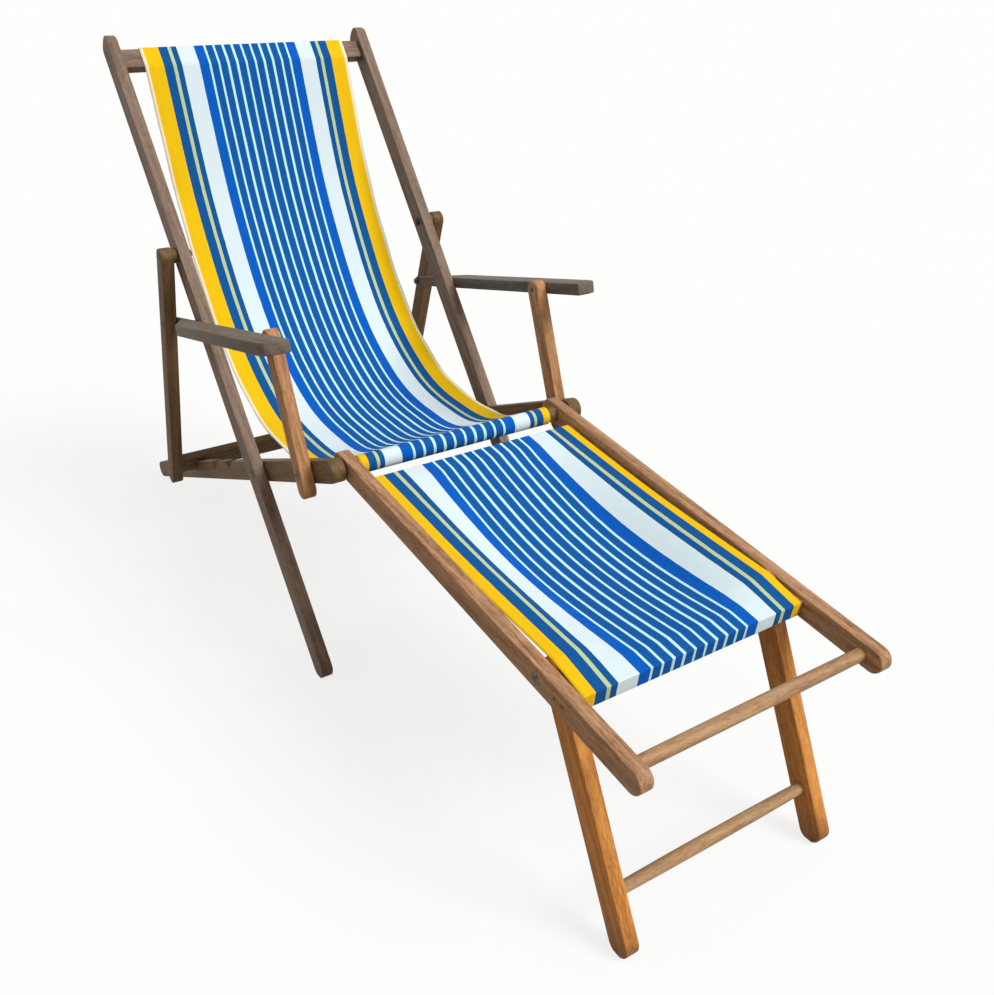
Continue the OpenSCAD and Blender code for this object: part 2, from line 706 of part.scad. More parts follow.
// The canvas comes down from the heads and bends round the front bar from here
front_bend = 83;
span_steps = 12;
span_start = [rear_face, rest_rear_top + canvas_skin];
span_end = [-leg_pivot_at, head_top];
rest_path = concat(
    [[rear_edge - under_bar, -rest_rear_low - canvas_skin, 0]],
    [for (p = corner([rear_edge, -rest_rear_low], -90, 0)) [p[0], p[1], 0]],
    [for (p = corner([rear_edge, rest_rear_top], 0, 90)) [p[0], p[1], 0]],
    [for (k = [0 : span_steps]) let (t = k / span_steps, p = span_start + (span_end - span_start) * t)
        [p[0], p[1] - rest_edge_sag * sin(180 * t),
            (rest_sag - rest_edge_sag) * sin(180 * t) + head_rise * t]],
    [for (a = head_angles) let (n = head_top * cos(a))
        [-leg_pivot_at - head_top * sin(a), n, n - head_top + head_rise]],
    [for (p = corner([front_face, rest_front_top], front_bend, 180)) [p[0], p[1], 0]],
    [for (p = corner([front_face, -rest_front_low], 180, 270)) [p[0], p[1], 0]],
    [[front_face + under_bar, -rest_front_low - canvas_skin, 0]]);

module leg_rest_sling() {
    color("#2a62b8") on_line(front, rest_a) sheet([for (p = rest_path)
        [p[0], p[1], rest_half, p[2], rest_shift]]);
}

// Tack heads in a row across the canvas, on a face whose normal points along their own Z
module tack_row(canvas_half) {
    half = canvas_half - tack_margin;
    for (k = [0 : tack_count - 1])
        translate([-half + 2 * half * k / (tack_count - 1), 0, canvas_gap + canvas_t])
            cylinder(d = tack_dia, h = tack_h);
}

module seat_sling_top_tacks() {
    color("#b9a06a") on_line(back_foot, back_a) translate([0, top_bar_at, -top_t]) rotate([180, 0, 0])
        tack_row(seat_top_half);
}

module seat_sling_front_tacks() {
    tack_a = roll_end_angle - tack_back;
    color("#b9a06a") on_line(front, tack_a - 90) translate([-seat_roll_shift, 0, front_bar_dia / 2])
        tack_row(seat_roll_half);
}

module leg_rest_tacks() {
    color("#b9a06a") on_line(front, rest_a) for (bar = rest_bars)
        translate([-rest_shift, -bar[0], bar[1] - rest_bar_t / 2]) rotate([180, 0, 0])
            tack_row(rest_half);
}

// The sides of the chair: right is +X

module seat_rail_left() { color("#5a4630") mirror([1, 0, 0]) seat_rail(); }
module seat_rail_right() { color("#5a4630") seat_rail(); }
module back_rail_left() { color("#82695a") mirror([1, 0, 0]) back_rail(); }
module back_rail_right() { color("#82695a") back_rail(); }
module prop_leg_left() { color("#6e5537") mirror([1, 0, 0]) prop_leg(); }
module prop_leg_right() { color("#6e5537") prop_leg(); }
module arm_left() { color("#5f554b") mirror([1, 0, 0]) arm(); }
module arm_right() { color("#5f554b") arm(); }
module arm_screw_left() { color("#a8a49c") mirror([1, 0, 0]) arm_screw(); }
module arm_screw_right() { color("#a8a49c") arm_screw(); }
module strut_left() { color("#aa7346") mirror([1, 0, 0]) strut(); }
module strut_right() { color("#aa7346") strut(); }
module leg_rest_rail_left() { color("#a58269") mirror([1, 0, 0]) leg_rest_rail(); }
module leg_rest_rail_right() { color("#a58269") leg_rest_rail(); }
module leg_left() { color("#b47832") mirror([1, 0, 0]) leg(); }
module leg_right() { color("#b47832") leg(); }

seat_rail_left();
seat_rail_right();
seat_front_bar();
seat_rear_bar();
seat_bar_screws();
seat_pivot_bolts();
seat_pivot_nuts();
seat_pivot_washers();
seat_sling_front_tacks();
back_rail_left();
back_rail_right();
back_top_bar();
back_bar_screws();
seat_sling();
seat_sling_top_tacks();
prop_spacers();
prop_pivot_bolts();
prop_pivot_nuts();
prop_leg_left();
prop_leg_right();
prop_cross_bar();
prop_bar_screws();
arm_pivot_bolts();
arm_pivot_nuts();
arm_left();
arm_right();
arm_screw_left();
arm_screw_right();
strut_left();
strut_right();
leg_rest_rail_left();
leg_rest_rail_right();
leg_rest_rear_bar();
leg_rest_front_bar();
leg_rest_rung();
leg_rest_bar_screws();
leg_rest_sling();
leg_rest_tacks();
leg_pivot_bolts();
leg_pivot_nuts();
leg_left();
leg_right();
leg_rung();
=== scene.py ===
import json
import math

import bmesh
import bpy
from mathutils import Matrix, Vector, noise


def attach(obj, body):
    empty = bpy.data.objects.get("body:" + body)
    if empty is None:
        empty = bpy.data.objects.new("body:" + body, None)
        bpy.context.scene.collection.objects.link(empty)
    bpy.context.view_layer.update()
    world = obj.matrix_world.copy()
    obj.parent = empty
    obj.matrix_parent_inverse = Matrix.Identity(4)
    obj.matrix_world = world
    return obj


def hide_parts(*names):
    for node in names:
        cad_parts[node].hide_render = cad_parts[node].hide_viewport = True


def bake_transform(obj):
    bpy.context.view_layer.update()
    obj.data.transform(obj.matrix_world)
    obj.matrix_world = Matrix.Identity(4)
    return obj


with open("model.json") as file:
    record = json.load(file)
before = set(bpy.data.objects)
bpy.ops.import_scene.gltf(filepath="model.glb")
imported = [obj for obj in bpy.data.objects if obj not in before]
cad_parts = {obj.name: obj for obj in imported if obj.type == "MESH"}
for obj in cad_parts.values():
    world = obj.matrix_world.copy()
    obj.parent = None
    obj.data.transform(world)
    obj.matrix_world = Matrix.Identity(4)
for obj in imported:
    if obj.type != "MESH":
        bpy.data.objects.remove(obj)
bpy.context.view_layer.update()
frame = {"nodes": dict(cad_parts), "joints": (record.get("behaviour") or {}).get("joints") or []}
scene = bpy.context.scene
mm = 0.001

# Driving sizes, the same as the frame's own
SEAT_RAIL_X = (224 * mm, 248 * mm)
BACK_RAIL_X = (250 * mm, 272 * mm)
ARM_X = (273 * mm, 319 * mm)
TONGUE_X = 280 * mm
PROP_X = (280.5 * mm, 304.5 * mm)
REST_RAIL_X = (198.5 * mm, 220.5 * mm)
LEG_X = (174.5 * mm, 197.5 * mm)
SEAT_RAIL_D = 39 * mm
BACK_RAIL_D = 41 * mm
PROP_D = 32 * mm
STRUT_D = 32 * mm
REST_RAIL_D = 36 * mm
LEG_D = 40 * mm
ARM_T = 21 * mm
SEAT_RAIL_LEN = 1181.5 * mm
BACK_RAIL_LEN = 1244 * mm
PROP_TAIL = 14.4 * mm
REST_LEN = 740 * mm
REST_TAIL = 18 * mm
STRUT_TAIL = 25 * mm
ARM_FRONT = 112 * mm
ARM_CLIP = 20 * mm
CLIP_EASE = 0.3
ARM_TAPER = 95 * mm
TONGUE_LEN = 50 * mm
ARM_PIVOT_AT = 153.8 * mm
NOTCH_DEPTH = 18 * mm
NOTCH_RAMP = math.radians(33)
NOTCH_GAP = 0.3 * mm
NOTCHES_AT = (560 * mm, 665 * mm, 825 * mm)
BAR_H = 37 * mm
BAR_T = 20 * mm
SEAT_REAR_BAR_AT = 1010 * mm
TOP_BAR_AT = 1214.5 * mm
PROP_BAR = (36 * mm, 22 * mm)
REST_REAR_BAR = (69 * mm, 30 * mm)
REST_FRONT_BAR = (596.9 * mm, 33 * mm)
REST_BAR_T = 22 * mm
REST_REAR_LIFT = -6 * mm
REST_FRONT_LIFT = 1 * mm
REST_RUNG_AT = 723 * mm
LEG_RUNG_UP = 70 * mm
RUNG_R = 10.25 * mm
FRONT_BAR_R = 14 * mm
FRONT_TENON_R = 9 * mm
FOOT_FLAT = 1 * mm
BACK_LEAN = math.radians(36.6)
LEG_LEAN = math.radians(25.4)
CANVAS_GAP = 0.3 * mm
CANVAS_T = 1.4 * mm
SEAT_CANVAS_HALF = 213 * mm
ROLL_CANVAS_HALF = 188 * mm
ROLL_GAP = 2.5 * mm
REST_CANVAS_HALF = 193.5 * mm
REST_EDGE_GAP = 2 * mm
SEAT_SAG = 287 * mm

# Places of the joints, in the Y-Z plane
joint_at = {joint["name"]: Vector(joint["pos_m"]).yz for joint in frame["joints"]}
front = joint_at["leg_rest_hinge"]
back_pivot = joint_at["back_tilt"]
prop_pivot = joint_at["prop_hinge"]
strut_foot = joint_at["strut_hinge_left"]
arm_pivot = joint_at["arm_hinge_left"]
leg_pivot = joint_at["leg_fold"]


def heading(start, end):
    step = end - start
    return math.atan2(step.y, step.x)


def place(start, angle, along, depth=0.0):
    """A place along a line at an angle from +Y to +Z, and square to it."""
    return start + Matrix.Rotation(angle, 2) @ Vector((along, depth))


seat_angle = heading(front, back_pivot)
rest_angle = heading(leg_pivot, front)
strut_angle = heading(strut_foot, arm_pivot)
strut_len = (arm_pivot - strut_foot).length
back_angle = math.pi / 2 - BACK_LEAN
leg_angle = math.pi / 2 - LEG_LEAN
back_foot_len = (back_pivot.y - BACK_RAIL_D / 2 + FOOT_FLAT) / math.cos(BACK_LEAN)
back_foot = place(back_pivot, back_angle, -back_foot_len)
leg_len = (leg_pivot.y - LEG_D / 2 + FOOT_FLAT) / math.cos(LEG_LEAN)

# The lower front corner of the prop bar lies in the rear notch, which sets the prop and the arms
bar_corner = place(front, seat_angle, NOTCHES_AT[-1], SEAT_RAIL_D / 2 - NOTCH_DEPTH + NOTCH_GAP)
bar_half = PROP_BAR[1] / 2
prop_bar_end = math.sqrt((bar_corner - prop_pivot).length ** 2 - bar_half ** 2)
prop_angle = heading(prop_pivot, bar_corner) + math.atan(bar_half / prop_bar_end)
prop_len = prop_bar_end + PROP_TAIL
notch_wall = prop_angle + math.pi / 2 - seat_angle
arm_rear = place(prop_pivot, prop_angle, ARM_PIVOT_AT)
arm_angle = heading(arm_pivot, arm_rear)
arm_len = (arm_rear - arm_pivot).length


def line_matrix(origin, angle):
    """Takes a piece's own places (across, along, depth) to the chair; the angle is from +Y to +Z."""
    return Matrix.Translation((0, origin.x, origin.y)) @ Matrix.Rotation(angle, 4, "X")


# Node helpers
def feed(tree, socket, value):
    """Links a socket to another one, or sets its value."""
    if isinstance(value, bpy.types.NodeSocket):
        tree.links.new(value, socket)
    else:
        socket.default_value = value


def feed_all(tree, node, inputs):
    for key, value in inputs.items():
        feed(tree, node.inputs[key], value)


def add_node(tree, kind, inputs=None, **settings):
    made = tree.nodes.new(kind)
    for key, value in settings.items():
        setattr(made, key, value)
    feed_all(tree, made, inputs or {})
    return made


def mix_colours(tree, factor, a, b, blend="MIX"):
    return add_node(tree, "ShaderNodeMix", {0: factor, 6: a, 7: b}, data_type="RGBA",
                    blend_type=blend).outputs[2]


def calculate(tree, operation, a, b=0.0, clamp=False):
    return add_node(tree, "ShaderNodeMath", {0: a, 1: b}, operation=operation, use_clamp=clamp).outputs[0]


def product(tree, a, b):
    return calculate(tree, "MULTIPLY", a, b)


def scaled(tree, vector, factors):
    return add_node(tree, "ShaderNodeVectorMath", {0: vector, 1: factors}, operation="MULTIPLY").outputs[0]


def noise_of(tree, vector, scale, detail, roughness=0.55, distortion=0.0):
    return add_node(tree, "ShaderNodeTexNoise", {
        "Vector": vector, "Scale": scale, "Detail": detail, "Roughness": roughness,
        "Distortion": distortion}).outputs["Fac"]


def stretched_noise(tree, vector, scales, *look):
    """Noise with a scale of its own along each axis."""
    return noise_of(tree, scaled(tree, vector, scales), 1, *look)


def spread(tree, value, low, high, to_low=0.0, to_high=1.0):
    return add_node(tree, "ShaderNodeMapRange", {
        "Value": value, "From Min": low, "From Max": high, "To Min": to_low,
        "To Max": to_high}).outputs["Result"]


def new_tree(name, inputs, outputs, kind="ShaderNodeTree"):
    """Node tree with named sockets, each of them a name and its kind."""
    tree = bpy.data.node_groups.new(name, kind)
    for in_out, sockets in (("INPUT", inputs), ("OUTPUT", outputs)):
        for socket_name, socket_kind in sockets.items():
            tree.interface.new_socket(socket_name, in_out=in_out, socket_type="NodeSocket" + socket_kind)
    return tree, tree.nodes.new("NodeGroupInput").outputs, tree.nodes.new("NodeGroupOutput")


def use_group(tree, group, inputs):
    return add_node(tree, "ShaderNodeGroup", inputs, node_tree=group).outputs


def srgb(r, g, b):
    """A colour in 0-255 screen values, as the linear values that the shaders take."""
    parts = [c / 255 for c in (r, g, b)]
    return (*[c / 12.92 if c <= 0.04045 else ((c + 0.055) / 1.055) ** 2.4 for c in parts], 1.0)


# Shared effects
GRAIN_CONTRAST = 3.4
PORE_DARKNESS = 0.3
PORE_DEPTH = 0.6


def make_wood_grain():
    """Streaks, fibres, growth bands and pores along a piece's own grain."""
    tree, given, out = new_tree(
        "wood_grain",
        {"Grain": "Vector", "Light": "Color", "Dark": "Color", "Weathered": "Color", "Weathering": "Float"},
        {"Color": "Color", "Roughness": "Float", "Height": "Float"})
    grain = given["Grain"]
    bands = add_node(tree, "ShaderNodeTexWave", {
        "Vector": scaled(tree, grain, (1, 0.06, 0.7)), "Scale": 34, "Distortion": 7,
        "Detail": 3, "Detail Scale": 1.2}, wave_type="BANDS", bands_direction="DIAGONAL").outputs["Fac"]
    broad = stretched_noise(tree, grain, (60, 6, 60), 5, 0.6, 0.4)
    streaks = stretched_noise(tree, grain, (240, 20, 240), 4, 0.65)
    fibres = stretched_noise(tree, grain, (620, 60, 620), 3, 0.7)
    patches = stretched_noise(tree, grain, (22, 9, 22), 4, 0.65)
    pores = stretched_noise(tree, grain, (1500, 90, 1500), 2, 0.5)
    tone = 0.0
    for layer, weight in ((bands, 0.10), (broad, 0.28), (streaks, 0.42), (fibres, 0.55)):
        tone = calculate(tree, "ADD", tone, product(tree, calculate(tree, "SUBTRACT", layer, 0.5), weight))
    tone = calculate(tree, "ADD", product(tree, tone, GRAIN_CONTRAST), 0.5, clamp=True)
    colour = mix_colours(tree, tone, given["Dark"], given["Light"])
    weathering = product(tree, spread(tree, patches, 0.35, 0.7), given["Weathering"])
    colour = mix_colours(tree, weathering, colour, given["Weathered"])
    pore_mask = spread(tree, pores, 0.36, 0.44, 1.0, 0.0)
    pore_shade = product(tree, pore_mask, PORE_DARKNESS)
    height = calculate(tree, "SUBTRACT", fibres, product(tree, pore_mask, PORE_DEPTH))
    feed_all(tree, out, {
        "Color": mix_colours(tree, pore_shade, colour, given["Dark"], "MULTIPLY"),
        "Roughness": spread(tree, streaks, 0.2, 0.8, 0.52, 0.74),
        "Height": calculate(tree, "ADD", height, product(tree, bands, 0.4))})
    return tree


def make_edge_wear_and_highlight():
    """Paler wood in patches along the corners: partly wear where hands and knocks have rubbed them, partly a
    painted highlight where light catches the rounded edges.
    """
    tree, given, out = new_tree(
        "edge_wear_and_highlight",
        {"Color": "Color", "Wear And Highlight": "Color", "Amount": "Float", "Edge": "Float", "Place": "Vector"},
        {"Color": "Color"})
    patches = spread(tree, noise_of(tree, given["Place"], 45, 4, 0.7), 0.38, 0.62)
    factor = product(tree, product(tree, given["Edge"], patches), given["Amount"])
    feed_all(tree, out, {"Color": mix_colours(tree, factor, given["Color"], given["Wear And Highlight"])})
    return tree


def make_ground_darkening():
    """Darker wood towards the ground, with a ragged upper edge."""
    tree, given, out = new_tree(
        "ground_darkening", {"Color": "Color", "Darker Colour": "Color", "Reach": "Float", "Place": "Vector"},
        {"Color": "Color"})
    height = add_node(tree, "ShaderNodeSeparateXYZ", {"Vector": given["Place"]}).outputs["Z"]
    ragged = product(tree, noise_of(tree, given["Place"], 30, 3), 40 * mm)
    level = calculate(tree, "DIVIDE", calculate(tree, "ADD", height, ragged), given["Reach"])
    darkening = spread(tree, level, 0.2, 1.5, 0.75, 0.0)
    feed_all(tree, out, {"Color": mix_colours(tree, darkening, given["Color"], given["Darker Colour"])})
    return tree


def make_cloth_weave():
    """Crossing threads of a plain weave, from the sheet's own measurements."""
    tree, given, out = new_tree(
        "cloth_weave", {"Across": "Float", "Along": "Float", "Thread": "Float"},
        {"Height": "Float", "Shade": "Float"})
    height = 1.0
    for way in ("Across", "Along"):
        turn = product(tree, calculate(tree, "DIVIDE", given[way], given["Thread"]), 2 * math.pi)
        height = product(tree, height, calculate(tree, "SINE", turn))
    feed_all(tree, out, {"Height": height, "Shade": spread(tree, height, -1, 1)})
    return tree


wood_grain = make_wood_grain()
edge_wear_and_highlight = make_edge_wear_and_highlight()
ground_darkening = make_ground_darkening()
cloth_weave = make_cloth_weave()


# Materials
def new_material(name):
    material = bpy.data.materials.new(name)
    material.use_nodes = True
    tree = material.node_tree
    return material, tree, tree.nodes["Principled BSDF"]


def add_bump(tree, shader, height, strength, distance):
    bump = add_node(tree, "ShaderNodeBump", {"Height": height, "Strength": strength, "Distance": distance})
    feed(tree, shader.inputs["Normal"], bump.outputs["Normal"])


# Light and dark grain, weathered colour, worn colour that also paints the edge highlight, how far
# weathered, and where not the usual, the height that the darkening near the ground reaches
WOODS = {
    "back_wood": ((150, 123, 103), (86, 67, 53), (140, 121, 107), (192, 172, 154), 0.5),
    "seat_wood": ((132, 97, 58), (66, 46, 24), (116, 98, 64), (160, 134, 98), 0.45),
    "arm_wood": ((122, 108, 94), (72, 61, 48), (118, 110, 98), (160, 146, 128), 0.5),
    "strut_wood": ((212, 158, 108), (140, 94, 58), (178, 136, 98), (222, 182, 138), 0.25),
    "leg_wood": ((232, 160, 80), (154, 92, 32), (196, 138, 78), (238, 190, 122), 0.2),
    "rest_wood": ((204, 160, 120), (122, 78, 50), (178, 142, 108), (212, 174, 136), 0.35),
    "rung_wood": ((196, 158, 116), (138, 98, 64), (176, 148, 114), (206, 176, 136), 0.35, 1 * mm)}
# Colour that the wood darkens to towards the ground
GROUND_DARKENING_COLOUR = srgb(38, 27, 17)
# How strongly the rounded edges get the paler wear and painted edge highlight
EDGE_WEAR_AND_HIGHLIGHT = 0.5


def wood(name, light, dark, weathered, worn_and_highlight, weathering, darkening_reach=50 * mm):
    material, tree, shader = new_material(name)
    grain = add_node(tree, "ShaderNodeAttribute", attribute_name="grain").outputs["Vector"]
    edge = add_node(tree, "ShaderNodeAttribute", attribute_name="edge").outputs["Fac"]
    spot = add_node(tree, "ShaderNodeTexCoord").outputs["Object"]
    figure = use_group(tree, wood_grain, {
        "Grain": grain, "Light": srgb(*light), "Dark": srgb(*dark), "Weathered": srgb(*weathered),
        "Weathering": weathering})
    # Paler rubbed wear and a painted highlight along the rounded edges
    colour = use_group(tree, edge_wear_and_highlight, {
        "Color": figure["Color"], "Wear And Highlight": srgb(*worn_and_highlight), "Amount": EDGE_WEAR_AND_HIGHLIGHT, "Edge": edge,
        "Place": spot})["Color"]
    # Darker towards the ground
    colour = use_group(tree, ground_darkening, {
        "Color": colour, "Darker Colour": GROUND_DARKENING_COLOUR, "Reach": darkening_reach, "Place": spot})["Color"]
    feed_all(tree, shader, {
        "Base Color": colour, "Roughness": figure["Roughness"], "Specular IOR Level": 0.35})
    add_bump(tree, shader, figure["Height"], 0.35, 0.6 * mm)
    return material


# Stripes of the canvas, each from its distance off the middle line in mm
BRIGHT_BLUE = srgb(8, 96, 202)
MID_BLUE = srgb(18, 92, 174)
DEEP_BLUE = srgb(18, 90, 160)
PALE_CYAN = srgb(200, 248, 255)
SOFT_WHITE = srgb(224, 244, 255)
EDGE_WHITE = srgb(250, 244, 216)
CREAM = srgb(196, 212, 168)
YELLOW = srgb(247, 202, 22)
LINE_PITCH = 18.8
LINE_HALF = 2.3
stripes = [(0, MID_BLUE)]
for line in range(5):
    middle = LINE_PITCH * (line + 0.5)
    stripes += [(middle - LINE_HALF, PALE_CYAN), (middle + LINE_HALF, MID_BLUE)]
stripes[-1] = (stripes[-1][0], BRIGHT_BLUE)
stripes += [(106, SOFT_WHITE), (140.5, DEEP_BLUE), (151.5, CREAM), (158, DEEP_BLUE),
            (176, YELLOW), (206.5, EDGE_WHITE)]
STRIPE_REACH = 216
STRIPE_WOBBLE = 0.9 * mm
THREAD_PITCH = 0.9 * mm
SLUB_TINT = srgb(235, 238, 240)
FADE_TINT = srgb(226, 230, 236)


def stripe_ramp(tree, share):
    ramp = add_node(tree, "ShaderNodeValToRGB", {"Fac": share})
    ramp.color_ramp.interpolation = "CONSTANT"
    stops = ramp.color_ramp.elements
    stops[0].position = 0
    stops[0].color = stripes[0][1]
    stops.remove(stops[1])
    for distance, colour in stripes[1:]:
        stops.new(distance / STRIPE_REACH).color = colour
    return ramp.outputs["Color"]


def make_canvas():
    material, tree, shader = new_material("canvas")
    measure = add_node(tree, "ShaderNodeUVMap", uv_map="canvas_cut").outputs["UV"]
    parts = add_node(tree, "ShaderNodeSeparateXYZ", {"Vector": measure}).outputs
    wobble = product(tree, calculate(tree, "SUBTRACT", noise_of(tree, measure, 40, 2), 0.5), STRIPE_WOBBLE)
    off_middle = calculate(tree, "ADD", calculate(tree, "ABSOLUTE", parts["X"]), wobble)
    colour = stripe_ramp(tree, calculate(tree, "DIVIDE", off_middle, STRIPE_REACH * mm))
    slub = stretched_noise(tree, measure, (900, 60, 1), 2)
    fade = stretched_noise(tree, measure, (9, 5, 1), 4, 0.6)
    weave = use_group(tree, cloth_weave, {"Across": parts["X"], "Along": parts["Y"], "Thread": THREAD_PITCH})
    colour = mix_colours(tree, spread(tree, slub, 0.3, 0.7, 0.0, 0.07), colour, SLUB_TINT, "MULTIPLY")
    colour = mix_colours(tree, spread(tree, fade, 0.45, 0.8, 0.0, 0.2), colour, FADE_TINT, "MULTIPLY")
    colour = mix_colours(tree, spread(tree, weave["Shade"], 0, 1, 0.06, 0.0), colour, (0, 0, 0, 1))
    feed_all(tree, shader, {
        "Base Color": colour, "Roughness": spread(tree, slub, 0.2, 0.8, 0.78, 0.92),
        "Specular IOR Level": 0.06, "Sheen Weight": 0.02, "Sheen Roughness": 0.5})
    add_bump(tree, shader, weave["Height"], 0.25, 0.2 * mm)
    return material


def make_thread():
    material, tree, shader = new_material("hem_thread")
    twist = noise_of(tree, add_node(tree, "ShaderNodeTexCoord").outputs["Object"], 900, 2)
    feed_all(tree, shader, {
        "Base Color": mix_colours(tree, twist, srgb(206, 166, 40), srgb(232, 196, 70)),
        "Roughness": spread(tree, twist, 0.2, 0.8, 0.7, 0.9)})
    return material


def metal(name, bright, dull, roughness, tarnish):
    material, tree, shader = new_material(name)
    spot = add_node(tree, "ShaderNodeTexCoord").outputs["Object"]
    patches = noise_of(tree, spot, 220, 5, 0.7)
    mask = product(tree, spread(tree, patches, 0.4, 0.65), tarnish)
    feed_all(tree, shader, {
        "Base Color": mix_colours(tree, mask, srgb(*bright), srgb(*dull)),
        "Metallic": spread(tree, mask, 0, 1, 1.0, 0.6),
        "Roughness": spread(tree, patches, 0.2, 0.8, roughness - 0.08, roughness + 0.2)})
    add_bump(tree, shader, stretched_noise(tree, spot, (300, 2500, 2500), 2), 0.15, 0.2 * mm)
    return material


MATERIALS = {name: wood(name, *look) for name, look in WOODS.items()}
MATERIALS["canvas"] = make_canvas()
MATERIALS["bolt_steel"] = metal("bolt_steel", (108, 102, 95), (62, 46, 35), 0.45, 0.85)
MATERIALS["screw_brass"] = metal("screw_brass", (118, 94, 58), (58, 44, 30), 0.48, 0.9)
hem_thread = make_thread()


# Meshes and objects
def new_object(name, data):
    obj = bpy.data.objects.new(name, data)
    scene.collection.objects.link(obj)
    return obj


def new_mesh(name, bm):
    mesh = bpy.data.meshes.new(name)
    bm.to_mesh(mesh)
    bm.free()
    return mesh


def store_vectors(mesh, name, vectors):
    stored = mesh.attributes.new(name, "FLOAT_VECTOR", "POINT")
    stored.data.foreach_set("vector", [c for vector in vectors for c in vector])


def stand_in(obj, name, body):
    """Puts the piece in the place of the frame's node of that name."""
    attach(obj, body)
    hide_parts(name)


# Makers of what repeats
HEAD_SIDES = 18
HEAD_RINGS = 4
# Share of its section that a head has lost at the top of its dome
HEAD_DOME = 0.85


def new_maker(name, inputs):
    """Geometry Nodes tree with named inputs for its sizes."""
    return new_tree(name, {"Geometry": "Geometry", **inputs, "Material": "Material"},
                    {"Geometry": "Geometry"}, "GeometryNodeTree")


def in_use(sockets, name):
    """The enabled one of the sockets that share a name."""
    return next(socket for socket in sockets if socket.enabled and socket.name == name)


def end_maker(tree, given, out, instances):
    real = add_node(tree, "GeometryNodeRealizeInstances", {"Geometry": instances}).outputs[0]
    done = add_node(tree, "GeometryNodeSetMaterial", {"Geometry": real, "Material": given["Material"]})
    feed_all(tree, out, {"Geometry": done.outputs[0]})


def domed_head(tree, given):
    """Round head that stands on its spot, with sides that close in to a dome."""
    disc = add_node(tree, "GeometryNodeMeshCylinder", {
        "Vertices": HEAD_SIDES, "Side Segments": HEAD_RINGS, "Radius": given["Head Radius"],
        "Depth": given["Head Height"]})
    spot = add_node(tree, "ShaderNodeSeparateXYZ", {
        "Vector": add_node(tree, "GeometryNodeInputPosition").outputs[0]}).outputs
    rise = calculate(tree, "ADD", calculate(tree, "DIVIDE", spot["Z"], given["Head Height"]), 0.5)
    lost = product(tree, product(tree, rise, rise), HEAD_DOME)
    shrink = calculate(tree, "SQRT", calculate(tree, "SUBTRACT", 1.0, lost))
    dome_spot = add_node(tree, "ShaderNodeCombineXYZ", {
        "X": product(tree, spot["X"], shrink), "Y": product(tree, spot["Y"], shrink),
        "Z": calculate(tree, "ADD", spot["Z"], product(tree, given["Head Height"], 0.5))})
    return add_node(tree, "GeometryNodeSetPosition", {
        "Geometry": disc.outputs["Mesh"], "Position": dome_spot.outputs[0]}).outputs[0]


def cut_slot(tree, given, head):
    """Slot right across the upper half of a head."""
    cutter_size = add_node(tree, "ShaderNodeCombineXYZ", {
        "X": product(tree, given["Head Radius"], 3.0), "Y": given["Slot Width"], "Z": given["Head Height"]})
    cutter = add_node(tree, "GeometryNodeMeshCube", {"Size": cutter_size.outputs[0]}).outputs["Mesh"]
    lift = add_node(tree, "ShaderNodeCombineXYZ", {"Z": given["Head Height"]})
    cutter = add_node(tree, "GeometryNodeTransform", {
        "Geometry": cutter, "Translation": lift.outputs[0]}).outputs[0]
    cut = add_node(tree, "GeometryNodeMeshBoolean", operation="DIFFERENCE")
    feed(tree, in_use(cut.inputs, "Mesh 1"), head)
    feed(tree, in_use(cut.inputs, "Mesh 2"), cutter)
    return cut.outputs["Mesh"]


def facing_turn(tree, given):
    """The turn by which a head faces the way that its point says, with its slot at any angle."""
    facing = add_node(tree, "GeometryNodeInputNamedAttribute", {"Name": "facing"}, data_type="FLOAT_VECTOR")
    turn = add_node(tree, "FunctionNodeAlignRotationToVector", {
        "Vector": in_use(facing.outputs, "Attribute")}, axis="Z").outputs[0]
    chance = add_node(tree, "FunctionNodeRandomValue", data_type="FLOAT")
    in_use(chance.inputs, "Max").default_value = math.pi
    feed(tree, in_use(chance.inputs, "Seed"), given["Seed"])
    spin = add_node(tree, "FunctionNodeAxisAngleToRotation", {
        "Axis": (0, 0, 1), "Angle": in_use(chance.outputs, "Value")}).outputs[0]
    return add_node(tree, "FunctionNodeRotateRotation", {
        "Rotation": turn, "Rotate By": spin}, rotation_space="LOCAL").outputs[0]


def head_maker(name, slotted):
    """A domed head on every point, with or without a slot."""
    sizes = {"Head Radius": "Float", "Head Height": "Float", "Seed": "Int"}
    if slotted:
        sizes["Slot Width"] = "Float"
    tree, given, out = new_maker(name, sizes)
    head = domed_head(tree, given)
    if slotted:
        head = cut_slot(tree, given, head)
    placed = add_node(tree, "GeometryNodeInstanceOnPoints", {
        "Points": given["Geometry"], "Instance": head, "Rotation": facing_turn(tree, given)}).outputs[0]
    end_maker(tree, given, out, placed)
    return tree


def stitch_maker():
    """Rows of short round stitches along every line of the mesh."""
    tree, given, out = new_maker("stitch_rows", {
        "Pitch": "Float", "Stitch Length": "Float", "Thread Radius": "Float"})
    line = add_node(tree, "GeometryNodeMeshToCurve", {"Mesh": given["Geometry"]}).outputs[0]
    points = add_node(tree, "GeometryNodeCurveToPoints", {
        "Curve": line, "Length": given["Pitch"]}, mode="LENGTH").outputs
    bead = add_node(tree, "GeometryNodeMeshUVSphere", {"Segments": 6, "Rings": 4, "Radius": 1.0})
    size = add_node(tree, "ShaderNodeCombineXYZ", {
        "X": given["Thread Radius"], "Y": given["Thread Radius"],
        "Z": product(tree, given["Stitch Length"], 0.5)})
    placed = add_node(tree, "GeometryNodeInstanceOnPoints", {
        "Points": points["Points"], "Instance": bead.outputs["Mesh"], "Rotation": points["Rotation"],
        "Scale": size.outputs[0]}).outputs[0]
    end_maker(tree, given, out, placed)
    return tree


